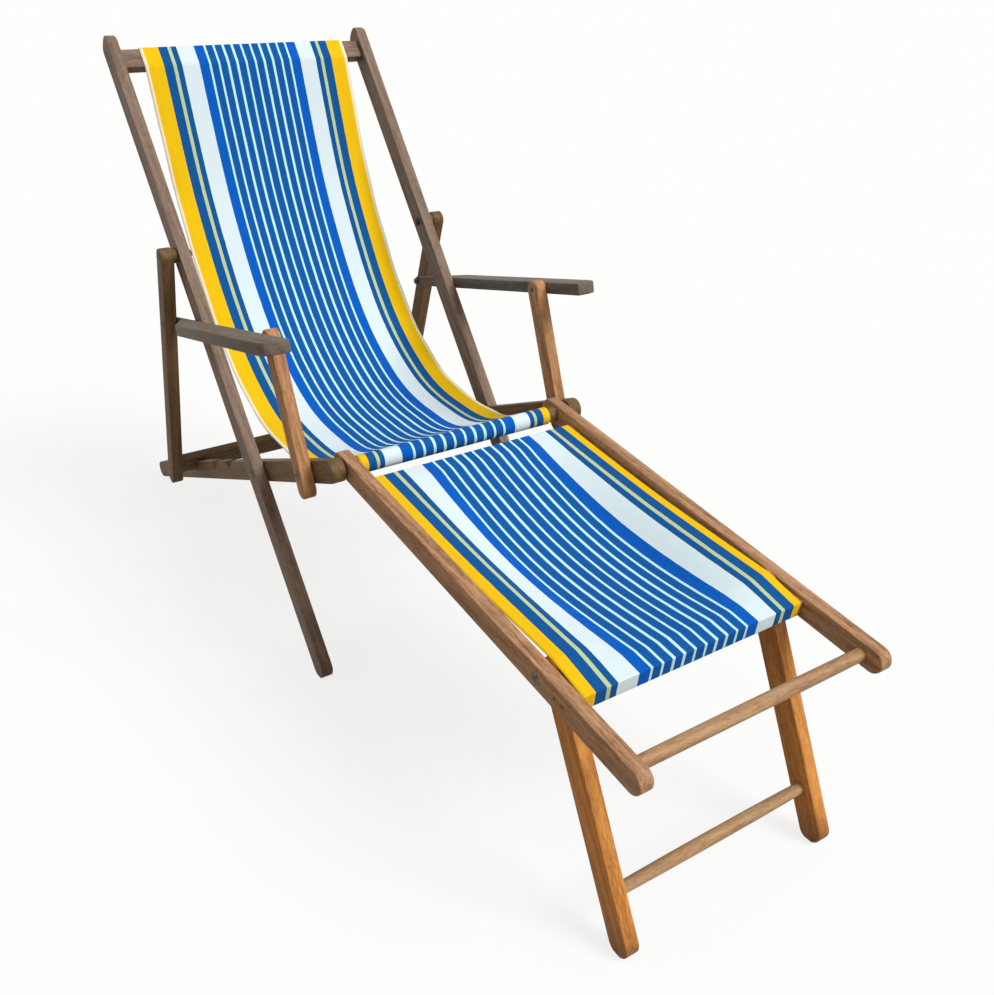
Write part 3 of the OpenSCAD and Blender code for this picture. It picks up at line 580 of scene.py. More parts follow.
def apply_modifiers(obj):
    depsgraph = bpy.context.evaluated_depsgraph_get()
    mesh = bpy.data.meshes.new_from_object(obj.evaluated_get(depsgraph))
    obj.modifiers.clear()
    obj.data = mesh


def make_with(tree, name, mesh, sizes):
    """A piece made by a Geometry Nodes tree from a mesh of points or lines."""
    obj = new_object(name, mesh)
    maker = obj.modifiers.new("maker", "NODES")
    maker.node_group = tree
    for item in tree.interface.items_tree:
        if item.item_type == "SOCKET" and item.in_out == "INPUT" and item.name in sizes:
            maker[item.identifier] = sizes[item.name]
    apply_modifiers(obj)
    return obj


# Wooden pieces
EASE = 2.3 * mm
ARM_EASE = 2.5 * mm
BAR_EASE = 1.5 * mm
SHARP_FROM = math.radians(40)
SMOOTH_UNDER = math.radians(50)
SAME_PLACE = 1e-6
ARC_STEPS = 20
# The order in which a piece's own axes are read, so that its grain runs the way of its length
GRAIN_AXES = {"along": (0, 1, 2), "across": (1, 0, 2)}
# Step in the grain from each piece to the next
NEXT_IN_GRAIN = Vector((0.37, 1.9, 0.23))
piece_count = 0


def arc(centre, radius, start, end, steps=ARC_STEPS):
    """Points of an arc in a piece's own (along, depth) plane, angles in degrees."""
    turn = [math.radians(start + (end - start) * k / steps) for k in range(steps + 1)]
    return [Vector((centre[0] + radius * math.cos(a), centre[1] + radius * math.sin(a))) for a in turn]


def board_outline(start, end, depth, top_marks=()):
    """Round-ended outline from start to end; top_marks are points of its upper edge, from end to start."""
    r = depth / 2
    return (arc((start, 0), r, 90, 270) + arc((end, 0), r, -90, 90)[:-1]
            + [Vector((end, r))] + list(top_marks))


def over_floor(outline, matrix):
    """The outline without what would lie under the floor."""
    spots = [(p, (matrix @ Vector((0, *p))).z) for p in outline]
    kept = []
    for (p, hp), (q, hq) in zip(spots, spots[1:] + spots[:1]):
        if hp >= 0:
            kept.append(p)
        if (hp < 0) != (hq < 0):
            kept.append(p.lerp(q, hp / (hp - hq)))
    return kept


def finish_piece(name, bm, grain_way, sub_part):
    """Makes the mesh a piece of the chair: stores its grain, puts it in place and rides it on its body."""
    global piece_count
    matrix, body, slot_name = sub_part
    piece_count += 1
    grain = [Vector([v.co[k] for k in GRAIN_AXES[grain_way]]) + NEXT_IN_GRAIN * piece_count
             for v in bm.verts]
    bmesh.ops.recalc_face_normals(bm, faces=bm.faces)
    bmesh.ops.transform(bm, matrix=matrix, verts=bm.verts)
    mesh = new_mesh(name, bm)
    store_vectors(mesh, "grain", grain)
    mesh.shade_smooth()
    mesh.set_sharp_from_angle(angle=SMOOTH_UNDER)
    mesh.materials.append(MATERIALS[slot_name])
    obj = new_object(name, mesh)
    stand_in(obj, name, body)
    return obj


def extrude_outline(outline, low, high, axis):
    """Solid from an outline of (first, second) places, between low and high on the third axis."""
    bm = bmesh.new()
    spots = {"x": lambda p, h: (h, *p), "z": lambda p, h: (*p, h)}[axis]
    rings = [[bm.verts.new(spots(p, h)) for p in outline] for h in (low, high)]
    for ring in rings:
        bm.faces.new(ring)
    count = len(outline)
    for k in range(count):
        n = (k + 1) % count
        bm.faces.new((rings[0][k], rings[0][n], rings[1][n], rings[1][k]))
    bmesh.ops.recalc_face_normals(bm, faces=bm.faces)
    return bm


def ease_edges(bm, width):
    """Rounds every sharp edge a little, and marks the middle of each rounding for wear and a painted
    highlight.
    """
    bmesh.ops.remove_doubles(bm, verts=bm.verts, dist=SAME_PLACE)
    sharp = [e for e in bm.edges if len(e.link_faces) == 2 and e.calc_face_angle(0) > SHARP_FROM]
    made = bmesh.ops.bevel(bm, geom=sharp, offset=width, segments=4, profile=0.5, affect="EDGES",
                           clamp_overlap=True)
    rounding = set(made["faces"])
    layer = bm.verts.layers.float.new("edge")
    for v in made["verts"]:
        if v.is_valid and all(f in rounding for f in v.link_faces):
            v[layer] = 1.0


def board(name, side, outline, x_range, sub_part, domed_from=None, dome=0.0):
    """Rail or leg; past domed_from its end narrows across the chair, by the share dome at its tip."""
    if side == "left":
        x_range = (-x_range[1], -x_range[0])
    bm = extrude_outline(outline, *x_range, "x")
    ease_edges(bm, EASE)
    if domed_from is not None:
        middle = sum(x_range) / 2
        reach = max(v.co.y for v in bm.verts) - domed_from
        for v in bm.verts:
            past = max(0.0, v.co.y - domed_from) / reach
            v.co.x = middle + (v.co.x - middle) * (1 - dome * past ** 2)
    finish_piece(f"{name}_{side}", bm, "along", sub_part)


def notch_marks(at):
    """Corners of one notch in a seat rail's upper edge, from its rear to its front."""
    top = SEAT_RAIL_D / 2
    return [Vector((at + NOTCH_DEPTH / math.tan(notch_wall), top)), Vector((at, top - NOTCH_DEPTH)),
            Vector((at - NOTCH_DEPTH / math.tan(NOTCH_RAMP), top))]


seat_line = line_matrix(front, seat_angle)
back_line = line_matrix(back_foot, back_angle)
prop_line = line_matrix(prop_pivot, prop_angle)
strut_line = line_matrix(strut_foot, strut_angle)
arm_line = line_matrix(arm_pivot, arm_angle)
rest_line = line_matrix(front, rest_angle)
leg_line = line_matrix(leg_pivot, leg_angle)
# Sub-parts: the line that places their pieces, their body and their wood
SEAT = (seat_line, "seat_frame", "seat_wood")
BACK = (back_line, "back_frame", "back_wood")
PROP = (prop_line, "prop_frame", "seat_wood")
REST = (rest_line, "leg_rest", "rest_wood")
LEGS = (leg_line, "leg_rest_legs", "leg_wood")

# Share of half the arm's thickness by which its rear tip is rounded
ARM_TIP_ROUND = 0.98
BACK_TIP_DOME = 0.3


def make_arm(side):
    clip_far = ARM_CLIP * CLIP_EASE
    tip = arm_len + ARM_T / 2
    plan = [(ARM_X[0], -ARM_FRONT), (ARM_X[1] - ARM_CLIP, -ARM_FRONT),
            (ARM_X[1] - clip_far, -ARM_FRONT + clip_far), (ARM_X[1], -ARM_FRONT + ARM_CLIP),
            (ARM_X[1], arm_len - TONGUE_LEN - ARM_TAPER), (TONGUE_X, arm_len - TONGUE_LEN),
            (TONGUE_X, tip), (ARM_X[0], tip)]
    sign = 1 if side == "right" else -1
    bm = extrude_outline([(sign * x, y) for x, y in plan], -ARM_T / 2, ARM_T / 2, "z")
    tip_edges = [e for e in bm.edges if all(v.co.y > tip - SAME_PLACE for v in e.verts)
                 and abs(e.verts[0].co.x - e.verts[1].co.x) > SAME_PLACE]
    bmesh.ops.bevel(bm, geom=tip_edges, offset=ARM_T / 2 * ARM_TIP_ROUND, segments=12, profile=0.5,
                    affect="EDGES")
    ease_edges(bm, ARM_EASE)
    finish_piece(f"arm_{side}", bm, "along", (arm_line, f"arm_{side}", "arm_wood"))


for side in ("left", "right"):
    marks = [p for at in reversed(NOTCHES_AT) for p in notch_marks(at)]
    outline = over_floor(board_outline(0, SEAT_RAIL_LEN, SEAT_RAIL_D, marks), seat_line)
    board("seat_rail", side, outline, SEAT_RAIL_X, SEAT)
    outline = over_floor(board_outline(0, BACK_RAIL_LEN, BACK_RAIL_D), back_line)
    board("back_rail", side, outline, BACK_RAIL_X, BACK, BACK_RAIL_LEN, BACK_TIP_DOME)
    board("prop_leg", side, board_outline(0, prop_len, PROP_D), PROP_X, PROP)
    board("strut", side, board_outline(-STRUT_TAIL, strut_len, STRUT_D), BACK_RAIL_X,
          (strut_line, f"strut_{side}", "strut_wood"))
    board("leg_rest_rail", side, board_outline(-REST_LEN, REST_TAIL, REST_RAIL_D), REST_RAIL_X, REST)
    outline = over_floor(board_outline(-leg_len, 0, LEG_D), leg_line)
    board("leg", side, outline, LEG_X, LEGS)
    make_arm(side)


def cross_bar(name, at, size, half_len, sub_part, lift=0.0):
    """Bar across the chair with eased long edges."""
    w, t = size[0] / 2, size[1] / 2
    corners = [(at - w, lift - t), (at + w, lift - t), (at + w, lift + t), (at - w, lift + t)]
    bm = extrude_outline(corners, -half_len, half_len, "x")
    ease_edges(bm, BAR_EASE)
    return finish_piece(name, bm, "across", sub_part)


def rest_bar(name, bar, lift):
    return cross_bar(name, -bar[0], (bar[1], REST_BAR_T), REST_RAIL_X[0], REST, lift)


prop_bar_at = prop_bar_end - PROP_BAR[0] / 2
top_bar = cross_bar("back_top_bar", TOP_BAR_AT, (BAR_H, BAR_T), BACK_RAIL_X[0], BACK)
cross_bar("seat_rear_bar", SEAT_REAR_BAR_AT, (BAR_H, BAR_T), SEAT_RAIL_X[0], SEAT)
cross_bar("prop_cross_bar", prop_bar_at, PROP_BAR, PROP_X[0], PROP)
rest_rear_bar = rest_bar("leg_rest_rear_bar", REST_REAR_BAR, REST_REAR_LIFT)
rest_front_bar = rest_bar("leg_rest_front_bar", REST_FRONT_BAR, REST_FRONT_LIFT)

BAR_SIDES = 28
# Share of the wear and painted edge highlight spread over the whole of a turned bar
BAR_WEAR_AND_HIGHLIGHT = 0.25
RUNG_STEPS = 24
# Power of the sine by which a rung swells: the lower, the sooner it is at its full radius
RUNG_SWELL = 0.45
REST_RUNG_NECK = 0.94
LEG_RUNG_NECK = 0.82
# The front bar's shoulders stand just clear of the leg rest's rails, which turn on its tenons
SHOULDER_GAP = 0.5 * mm
FRONT_BAR_SHOULDER = REST_RAIL_X[0] - SHOULDER_GAP


def turned_bar(name, profile, at, sub_part):
    """Round bar across the chair; profile is (distance from the middle, radius) from one end to the other."""
    bm = bmesh.new()
    turns = [2 * math.pi * k / BAR_SIDES for k in range(BAR_SIDES)]
    rings = [[bm.verts.new((x, at + r * math.cos(a), r * math.sin(a))) for a in turns] for x, r in profile]
    for low, high in zip(rings, rings[1:]):
        for k in range(BAR_SIDES):
            n = (k + 1) % BAR_SIDES
            bm.faces.new((low[k], low[n], high[n], high[k]))
    for ring in (rings[0], rings[-1]):
        bm.faces.new(ring)
    # Every part of a turned bar gets a little of the wear and painted highlight
    layer = bm.verts.layers.float.new("edge")
    for v in bm.verts:
        v[layer] = BAR_WEAR_AND_HIGHLIGHT
    return finish_piece(name, bm, "across", sub_part)


def rung_profile(half_len, neck):
    """A rung that swells a little from each end, a share neck of its radius, to its middle."""
    shares = [k / RUNG_STEPS for k in range(RUNG_STEPS + 1)]
    return [(half_len * (2 * t - 1), RUNG_R * (neck + (1 - neck) * math.sin(math.pi * t) ** RUNG_SWELL))
            for t in shares]


turned_bar("leg_rest_rung", rung_profile(REST_RAIL_X[0], REST_RUNG_NECK), -REST_RUNG_AT,
           (*REST[:2], "rung_wood"))
turned_bar("leg_rung", rung_profile(LEG_X[0], LEG_RUNG_NECK), LEG_RUNG_UP - leg_len,
           (*LEGS[:2], "rung_wood"))
front_profile = [(SEAT_RAIL_X[0], FRONT_TENON_R), (FRONT_BAR_SHOULDER, FRONT_TENON_R),
                 (FRONT_BAR_SHOULDER, FRONT_BAR_R)]
front_bar = turned_bar("seat_front_bar", [(-x, r) for x, r in front_profile] + front_profile[::-1], 0, SEAT)


# Canvas
CANVAS_SKIN = CANVAS_GAP + CANVAS_T / 2
ROW_PITCH = 5.5 * mm
INNER_COLUMNS = 44
CORNER_STEPS = 5
ROLL_STEPS = 32
HANG_STEPS = 12
HEM_W = 17 * mm
STITCH_IN = 14 * mm
HEM_STEP = 1.2 * mm
# Columns over a hem, from the edge inwards, with the step down to the single cloth
HEM_COLUMNS = (0, 5 * mm, 10 * mm, STITCH_IN, HEM_W, HEM_W + HEM_STEP)
# Thickness of the single cloth, as a share of the hem's
SINGLE_CLOTH = 0.8


def in_plane(matrix, points):
    """Points of a piece's own (along, depth) plane, as places in the chair's Y-Z plane."""
    return [(matrix @ Vector((0, *p))).yz for p in points]


def smooth_path(points):
    """Curve through every point, in short stretches."""
    last = len(points) - 1
    path = []
    for i in range(last):
        p, q, r, s = (points[max(0, i - 1)], points[i], points[i + 1], points[min(last, i + 2)])
        for k in range(HANG_STEPS):
            t = k / HANG_STEPS
            path.append(0.5 * (2 * q + (r - p) * t + (2 * p - 5 * q + 4 * r - s) * t ** 2
                               + (3 * q - p - 3 * r + s) * t ** 3))
    return path + [points[last]]


def filled_path(path):
    """The path with its long stretches divided; each place comes with its distance from the start."""
    spots = [(path[0], 0.0)]
    for p, q in zip(path, path[1:]):
        length = (q - p).length
        start = spots[-1][1]
        count = max(1, math.ceil(length / ROW_PITCH))
        spots += [(p.lerp(q, k / count), start + length * k / count) for k in range(1, count + 1)]
    return spots


def canvas_columns(half):
    """Places across the sheet: close together over the hems at both edges, even between them."""
    hem = [half - inwards for inwards in HEM_COLUMNS]
    between = [hem[-1] * (1 - 2 * k / INNER_COLUMNS) for k in range(1, INNER_COLUMNS)]
    return [-x for x in hem] + [-x for x in between] + hem[::-1]


def flat_area(path, half_width):
    """Area of the flat cloth of a sheet along a path."""
    rows = filled_path(path)
    total = rows[-1][1]
    return sum((half_width(p[1] / total) + half_width(q[1] / total)) * (q[1] - p[1])
               for p, q in zip(rows, rows[1:]))


def fill_cloth(bm, rows):
    """Faces between the rows, each corner with its place on the flat cloth."""
    cut = bm.loops.layers.uv.new("canvas_cut")
    for low, high in zip(rows, rows[1:]):
        for k in range(len(low) - 1):
            corners = (low[k], low[k + 1], high[k + 1], high[k])
            face = bm.faces.new([v for v, flat_place in corners])
            for loop, (v, flat_place) in zip(face.loops, corners):
                loop[cut].uv = flat_place
    bmesh.ops.recalc_face_normals(bm, faces=bm.faces)


def thicken(obj):
    """Gives the sheet its thickness, full only over the hems."""
    obj.vertex_groups.new(name="hem")
    solid = obj.modifiers.new("thickness", "SOLIDIFY")
    solid.thickness = CANVAS_T
    solid.offset = 0
    solid.vertex_group = "hem"
    solid.thickness_vertex_group = SINGLE_CLOTH
    apply_modifiers(obj)


def canvas_sheet(name, path, half_width, lift, gather, lift_way=None):
    """Woven sheet along a path, with its edge at half_width(share) and waves lift(across, spot, share, half).

    The waves go along the path's normal, or the way that lift_way says. gather(across, share) gives how
    far a thread slips to the left, and the place across the flat cloth that it comes from.
    Returns the object, its length and the lines that its hems are sewn along."""
    spots = filled_path(path)
    total = spots[-1][1]
    bm = bmesh.new()
    hems = bm.verts.layers.deform.new()
    rows = []
    seams = {(side, face): [] for side in (-1, 1) for face in (-1, 1)}
    for i, (spot, length) in enumerate(spots):
        share = length / total
        ahead = spots[min(i + 1, len(spots) - 1)][0] - spots[max(i - 1, 0)][0]
        normal = Vector((-ahead.y, ahead.x)).normalized()
        way = lift_way or normal
        half = half_width(share)
        row = []
        for x in canvas_columns(half):
            moved = spot + way * lift(x, spot, share, half)
            slip, thread = gather(x, share)
            v = bm.verts.new((x - slip, *moved))
            v[hems][0] = float(abs(x) > half - HEM_W - SAME_PLACE)
            row.append((v, (thread, length)))
        rows.append(row)
        for (side, face), line in seams.items():
            x = side * (half - STITCH_IN)
            moved = spot + way * lift(x, spot, share, half) + normal * face * CANVAS_T / 2
            line.append((x - gather(x, share)[0], *moved))
    fill_cloth(bm, rows)
    mesh = new_mesh(name, bm)
    mesh.materials.append(MATERIALS["canvas"])
    mesh.shade_smooth()
    obj = new_object(name, mesh)
    thicken(obj)
    return obj, total, list(seams.values())


stitch_rows = stitch_maker()


def sew_hems(name, seams):
    """The thread of the hems, on both faces of the sheet."""
    points = []
    edges = []
    for line in seams:
        edges += [(k, k + 1) for k in range(len(points), len(points) + len(line) - 1)]
        points += line
    mesh = bpy.data.meshes.new(name)
    mesh.from_pydata(points, edges, [])
    obj = make_with(stitch_rows, name, mesh, {
        "Pitch": 4.2 * mm, "Stitch Length": 3.2 * mm, "Thread Radius": 0.35 * mm, "Material": hem_thread})
    return obj


def corner_path(c, start, end):
    return arc(c, CANVAS_SKIN, start, end, CORNER_STEPS)


# Canvas behind the top bar, as a share of half the bar's height below its middle
TOP_HEM = 0.7
# Turn of the canvas round the front bar, in degrees
ROLL_START = 62
ROLL_END = 300
# Hang under the straight line between the bars, as a share of the deepest, at every tenth of it
SAG_SHARES = (0, 0.278, 0.533, 0.725, 0.875, 0.972, 1, 0.955, 0.802, 0.547, 0)


def seat_canvas_path():
    half, t = BAR_H / 2, BAR_T / 2
    wrap = ([Vector((TOP_BAR_AT - half * TOP_HEM, -t - CANVAS_SKIN))]
            + corner_path((TOP_BAR_AT + half, -t), -90, 0) + corner_path((TOP_BAR_AT + half, t), 0, 90)
            + [Vector((TOP_BAR_AT - half, t + CANVAS_SKIN))])
    wrap = in_plane(back_line, wrap)
    roll = [front + p for p in arc((0, 0), FRONT_BAR_R + CANVAS_SKIN, ROLL_START, ROLL_END, ROLL_STEPS)]
    chord = roll[0] - wrap[-1]
    down = Vector((-chord.y, chord.x)).normalized()
    hang = [wrap[-1] + chord * k / (len(SAG_SHARES) - 1) + down * share * SEAT_SAG
            for k, share in enumerate(SAG_SHARES)]
    return wrap, smooth_path(hang), roll


def path_length(path):
    return sum((q - p).length for p, q in zip(path, path[1:]))


wrap, hang, roll = seat_canvas_path()
seat_path = wrap[:-1] + hang + roll[1:]
seat_total = path_length(seat_path)
hang_share = (path_length(wrap) / seat_total, (path_length(wrap) + path_length(hang)) / seat_total)
# Share of the hang from which the canvas is drawn in for the front bar
DRAW_IN_FROM = 0.8


def clamped(t):
    return max(0.0, min(1.0, t))


def smoothstep(t):
    t = clamped(t)
    return t * t * (3 - 2 * t)


def drawn_in(share):
    """How far the canvas is drawn in for the front bar, from 0 to 1."""
    hung = (share - hang_share[0]) / (hang_share[1] - hang_share[0])
    return clamped((hung - DRAW_IN_FROM) / (1 - DRAW_IN_FROM))


def seat_half(share):
    return SEAT_CANVAS_HALF - (SEAT_CANVAS_HALF - ROLL_CANVAS_HALF) * drawn_in(share)


# On the front bar the canvas has slipped to the left, its middle is spread and its edges are crowded;
# CROWDING is per metre beyond the spread middle
ROLL_SHIFT = max(0.0, REST_RAIL_X[0] - ROLL_GAP - ROLL_CANVAS_HALF)
SPREAD_TO = 112 * mm
SPREAD_BY = 1.06
CROWDING = 2.4


def seat_gather(x, share):
    drawn = drawn_in(share)
    beyond = max(0.0, abs(x) - SPREAD_TO)
    thread = min(abs(x), SPREAD_TO) / SPREAD_BY + beyond + CROWDING * beyond ** 2
    return ROLL_SHIFT * drawn, x * (1 - drawn) + math.copysign(thread, x) * drawn


SEAT_SLACK = 2.2 * mm
# Shares of the canvas's length where its waves start and end, and over which they grow and fade
WAVES_START = 0.08
WAVES_GROW = 0.15
WAVES_END = 0.86
WAVES_FADE = 0.12
# The edges' own waves start at a share of the half width, and one edge is ahead of the other
FLUTTER = 1.5 * mm
FLUTTER_FROM = 0.88
FLUTTER_RATE = 60
FLUTTER_LEAD = 2


def seat_waves(x, spot, share, half):
    """Slack waves of the hanging part, calm over both bars, with edges that lift a little."""
    strength = (smoothstep((share - WAVES_START) / WAVES_GROW)
                * smoothstep((WAVES_END - share) / WAVES_FADE))
    slack = noise.noise(Vector((x * 7, share * 5, 3.1))) * SEAT_SLACK
    edge = max(0.0, abs(x) / half - FLUTTER_FROM) / (1 - FLUTTER_FROM)
    lead = FLUTTER_LEAD if x > 0 else 0
    return strength * (slack + edge * FLUTTER * math.sin(share * FLUTTER_RATE + lead))


seat_sling, seat_sling_len, seat_seams = canvas_sheet(
    "seat_sling", seat_path, seat_half, seat_waves, seat_gather)
seat_stitches = sew_hems("seat_sling_stitches", seat_seams)
# The canvas and its stitches are baked where they were made, and ride on no body
for piece in (seat_sling, seat_stitches):
    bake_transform(piece)
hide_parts("seat_sling")
flat_area(seat_path, seat_half)

REST_REAR_FACE = -REST_REAR_BAR[0] - REST_REAR_BAR[1] / 2
REST_STOP_FACE = -REST_FRONT_BAR[0] + REST_FRONT_BAR[1] / 2
REST_REAR_TOP = REST_BAR_T / 2 + REST_REAR_LIFT + CANVAS_SKIN
REST_FRONT_TOP = REST_BAR_T / 2 + REST_FRONT_LIFT + CANVAS_SKIN
REST_EDGE_SAG = 4.5 * mm
REST_MIDDLE_SAG = 31 * mm
REST_SHIFT = max(0.0, REST_RAIL_X[0] - REST_EDGE_GAP - REST_CANVAS_HALF)
REST_UNDER = 24 * mm
REST_SLACK = 1.2 * mm
SPAN_STEPS = 20
# Over the leg's head the edge turns this far past level, in degrees, and back at the front bar
HEAD_BEND = 7
HEAD_ROOM = 0.2 * mm
# Between these places off the middle line the canvas climbs from its sag to the height of its edges
CLIMB_FROM = 72 * mm
CLIMB_TO = 168 * mm
to_rest_plane = rest_line.inverted()


def rest_canvas_path():
    """The way that the edges take: round the rear bar, over the heads of the legs, round the front bar."""
    rear_edge = -REST_REAR_BAR[0] + REST_REAR_BAR[1] / 2
    front_face = -REST_FRONT_BAR[0] - REST_FRONT_BAR[1] / 2
    rear_low, rear_high = REST_REAR_LIFT - REST_BAR_T / 2, REST_REAR_LIFT + REST_BAR_T / 2
    front_low, front_high = REST_FRONT_LIFT - REST_BAR_T / 2, REST_FRONT_LIFT + REST_BAR_T / 2
    head_at = -(leg_pivot - front).length
    over_head = arc((head_at, 0), LEG_D / 2 + CANVAS_SKIN + HEAD_ROOM, 90, 90 + HEAD_BEND, 3)
    shares = [k / SPAN_STEPS for k in range(SPAN_STEPS)]
    sagged = [Vector((REST_REAR_FACE, REST_REAR_TOP)).lerp(over_head[0], t)
              - Vector((0, REST_EDGE_SAG * math.sin(math.pi * t))) for t in shares]
    return in_plane(rest_line, [Vector((rear_edge - REST_UNDER, rear_low - CANVAS_SKIN))]
                    + corner_path((rear_edge, rear_low), -90, 0) + corner_path((rear_edge, rear_high), 0, 90)
                    + sagged + over_head
                    + corner_path((front_face, front_high), 90 - HEAD_BEND, 180)
                    + corner_path((front_face, front_low), 180, 270)
                    + [Vector((front_face + REST_UNDER, front_low - CANVAS_SKIN))])


def rest_gather(x, share):
    return REST_SHIFT, x - REST_SHIFT


def rest_waves(x, spot, share, half):
    """The middle sags between the bars and lies on the front bar, inside of the climbing edges."""
    _, along, depth = to_rest_plane @ Vector((0, *spot))
    t = (along - REST_REAR_FACE) / (REST_STOP_FACE - REST_REAR_FACE)
    if t <= 0 or depth < 0:
        return 0.0
    t = min(t, 1.0)
    bow = max(0.0, math.sin(math.pi * t))
    middle = REST_REAR_TOP + (REST_FRONT_TOP - REST_REAR_TOP) * t - REST_MIDDLE_SAG * bow
    inward = 1 - smoothstep((abs(x) - CLIMB_FROM) / (CLIMB_TO - CLIMB_FROM))
    slack = noise.noise(Vector((x * 8, along * 6, 9.7))) * REST_SLACK * smoothstep(3 * bow)
    return max(0.0, depth - middle) * inward + slack


rest_down = (rest_line.to_3x3() @ Vector((0, 0, -1))).yz
rest_sling, rest_sling_len, rest_seams = canvas_sheet(
    "leg_rest_sling", rest_canvas_path(), lambda share: REST_CANVAS_HALF, rest_waves, rest_gather, rest_down)
rest_stitches = sew_hems("leg_rest_sling_stitches", rest_seams)
for piece in (rest_sling, rest_stitches):
    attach(piece, "leg_rest")
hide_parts("leg_rest_sling")


# Tacks and screws
TACKS_IN_ROW = 9
TACK_MARGIN = 20 * mm
# From the front bar's tacks to the end of the canvas, in degrees round the bar
TACK_BACK = 20
HEAD_SINK = 0.1 * mm
SCREW_PITCH = 16 * mm
HEAD_SMOOTH_UNDER = math.radians(48)
tack_heads = head_maker("tack_heads", slotted=False)
screw_heads = head_maker("screw_heads", slotted=True)


def add_heads(name, tree, body, spots, sizes):
    mesh = bpy.data.meshes.new(name)
    mesh.from_pydata([spot for spot, facing in spots], [], [])
    store_vectors(mesh, "facing", [facing for spot, facing in spots])
    obj = make_with(tree, name, mesh, {**sizes, "Seed": len(spots), "Material": MATERIALS["screw_brass"]})
    obj.data.shade_smooth()
    obj.data.set_sharp_from_angle(angle=HEAD_SMOOTH_UNDER)
    stand_in(obj, name, body)


def add_tacks(name, sub_part, half, shift, rows):
    """Rows of tacks across the canvas; a row is the (along, depth, facing) of its heads."""
    matrix, body, _ = sub_part
    reach = half - TACK_MARGIN
    spots = []
    for along, depth, facing in rows:
        for k in range(TACKS_IN_ROW):
            x = reach * (2 * k / (TACKS_IN_ROW - 1) - 1) - shift
            spots.append((matrix @ Vector((x, along, depth)), matrix.to_3x3() @ Vector((0, *facing))))
    add_heads(name, tack_heads, body, spots, {"Head Radius": 3.5 * mm, "Head Height": 1.4 * mm})


def add_screws(name, sub_part, x_face, bars):
    """Two screws at each end of each bar, in the outer faces of the rails; a bar is (along, depth)."""
    matrix, body, _ = sub_part
    spots = [(matrix @ Vector((side * x_face, along + step * SCREW_PITCH / 2, depth)), Vector((side, 0, 0)))
             for along, depth in bars for side in (-1, 1) for step in (-1, 1)]
    add_heads(name, screw_heads, body, spots, {
        "Head Radius": 4.5 * mm, "Head Height": 1.0 * mm, "Slot Width": 0.9 * mm})


UNDERSIDE = (0, -1)
tack_depth = CANVAS_GAP + CANVAS_T - HEAD_SINK
tack_angle = math.radians(ROLL_END - TACK_BACK)
roll_facing = Vector((math.cos(tack_angle), math.sin(tack_angle)))
roll_spot = roll_facing * (FRONT_BAR_R + tack_depth)
rest_bars = [(-REST_REAR_BAR[0], REST_REAR_LIFT), (-REST_FRONT_BAR[0], REST_FRONT_LIFT)]
add_tacks("seat_sling_top_tacks", BACK, SEAT_CANVAS_HALF, 0,
          [(TOP_BAR_AT, -BAR_T / 2 - tack_depth, UNDERSIDE)])
add_tacks("seat_sling_front_tacks", (line_matrix(front, 0), *SEAT[1:]), ROLL_CANVAS_HALF, ROLL_SHIFT,
          [(*roll_spot, roll_facing)])
add_tacks("leg_rest_tacks", REST, REST_CANVAS_HALF, REST_SHIFT,
          [(at, lift - REST_BAR_T / 2 - tack_depth, UNDERSIDE) for at, lift in rest_bars])
add_screws("back_bar_screws", BACK, BACK_RAIL_X[1], [(TOP_BAR_AT, 0)])
add_screws("seat_bar_screws", SEAT, SEAT_RAIL_X[1], [(SEAT_REAR_BAR_AT, 0)])
add_screws("prop_bar_screws", PROP, PROP_X[1], [(prop_bar_at, 0)])
add_screws("leg_rest_bar_screws", REST, REST_RAIL_X[1], rest_bars)

# Fasteners that stay as the frame has them
STEEL_NAMES = ("_bolts", "_nuts", "_washers", "arm_screw_left", "arm_screw_right")
for name, obj in frame["nodes"].items():
    if name.endswith(STEEL_NAMES) or name == "prop_spacers":
        obj.data.materials.clear()
        obj.data.materials.append(MATERIALS["seat_wood" if name == "prop_spacers" else "bolt_steel"])

# Camera at the photograph's angle, placed from the middle of the front bar
CAMERA_STEP = (-0.8226, -1.3825, 0.7055)
CAMERA_DOWN = 29.8
CAMERA_TURN = -33.7
view = bpy.data.cameras.new("camera")
view.lens = 36.70
view.sensor_width = 36
view.sensor_fit = "HORIZONTAL"
view.shift_x = -0.0112
view.shift_y = 0.0490
camera = new_object("camera", view)
camera.location = (CAMERA_STEP[0], front.x + CAMERA_STEP[1], front.y + CAMERA_STEP[2])
camera.rotation_euler = (math.radians(90 - CAMERA_DOWN), 0, math.radians(CAMERA_TURN))
scene.camera = camera

# Light
TO_KEY_SUN = Vector((0.45, -0.75, 0.85))
key_sun = bpy.data.lights.new("key", "SUN")
key_sun.energy = 2.6
key_sun.angle = math.radians(30)
key_sun.color = (1.0, 0.985, 0.965)
new_object("key", key_sun).rotation_euler = (-TO_KEY_SUN).to_track_quat("-Z", "Y").to_euler()


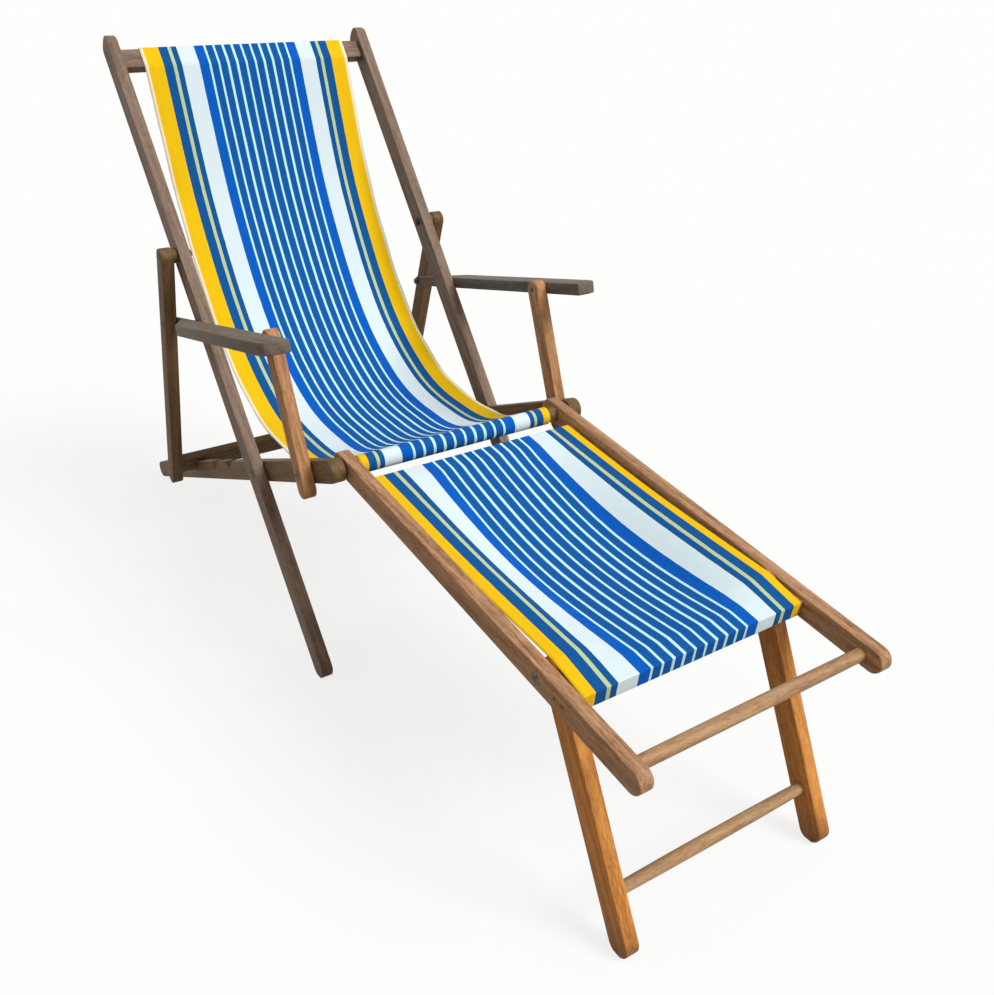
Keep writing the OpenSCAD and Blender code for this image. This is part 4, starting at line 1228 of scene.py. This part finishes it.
def by_eye(tree, lit, seen):
    """One shader for the light that falls on the chair, another for what is seen or mirrored."""
    rays = add_node(tree, "ShaderNodeLightPath").outputs
    looked_at = calculate(tree, "MAXIMUM", rays["Is Camera Ray"], calculate(
        tree, "MAXIMUM", rays["Is Glossy Ray"], rays["Is Transmission Ray"]))
    return add_node(tree, "ShaderNodeMixShader", {
        0: looked_at, 1: lit.outputs[0], 2: seen.outputs[0]}).outputs[0]


# The pale background
SKY_LIGHT = (1.0, 0.93, 0.82, 1)
PALE = (0.965, 0.965, 0.965, 1)
world = bpy.data.worlds.new("studio")
scene.world = world
world.use_nodes = True
sky = world.node_tree
sky.nodes.clear()
soft_light = add_node(sky, "ShaderNodeBackground", {"Color": SKY_LIGHT, "Strength": 0.48})
backdrop = add_node(sky, "ShaderNodeBackground", {"Color": PALE, "Strength": 1.0})
add_node(sky, "ShaderNodeOutputWorld", {"Surface": by_eye(sky, soft_light, backdrop)})

FLOOR_REACH = 120.0
FLOOR_LEVEL = -0.2 * mm
FLOOR_GLOW = 0.8
FLOOR_PALE = (0.93, 0.96, 1.0, 1)
FLOOR_LIT = (0.24, 0.2, 0.15, 1)


def make_floor():
    """Floor that is pale to the eye, keeps a soft shadow, and throws little light back up."""
    mesh = bpy.data.meshes.new("floor")
    corners = ((-1, -1), (1, -1), (1, 1), (-1, 1))
    mesh.from_pydata([(x * FLOOR_REACH, y * FLOOR_REACH, FLOOR_LEVEL) for x, y in corners], [],
                     [(0, 1, 2, 3)])
    material, tree, shader = new_material("floor")
    tree.nodes.remove(shader)
    pale = add_node(tree, "ShaderNodeBsdfDiffuse", {"Color": FLOOR_PALE})
    glow = add_node(tree, "ShaderNodeEmission", {"Color": (1, 1, 1, 1), "Strength": 1.0})
    seen = add_node(tree, "ShaderNodeMixShader", {0: FLOOR_GLOW, 1: pale.outputs[0], 2: glow.outputs[0]})
    lit = add_node(tree, "ShaderNodeBsdfDiffuse", {"Color": FLOOR_LIT})
    feed(tree, tree.nodes["Material Output"].inputs["Surface"], by_eye(tree, lit, seen))
    mesh.materials.append(material)
    new_object("floor", mesh)


make_floor()

scene.view_settings.view_transform = "Standard"
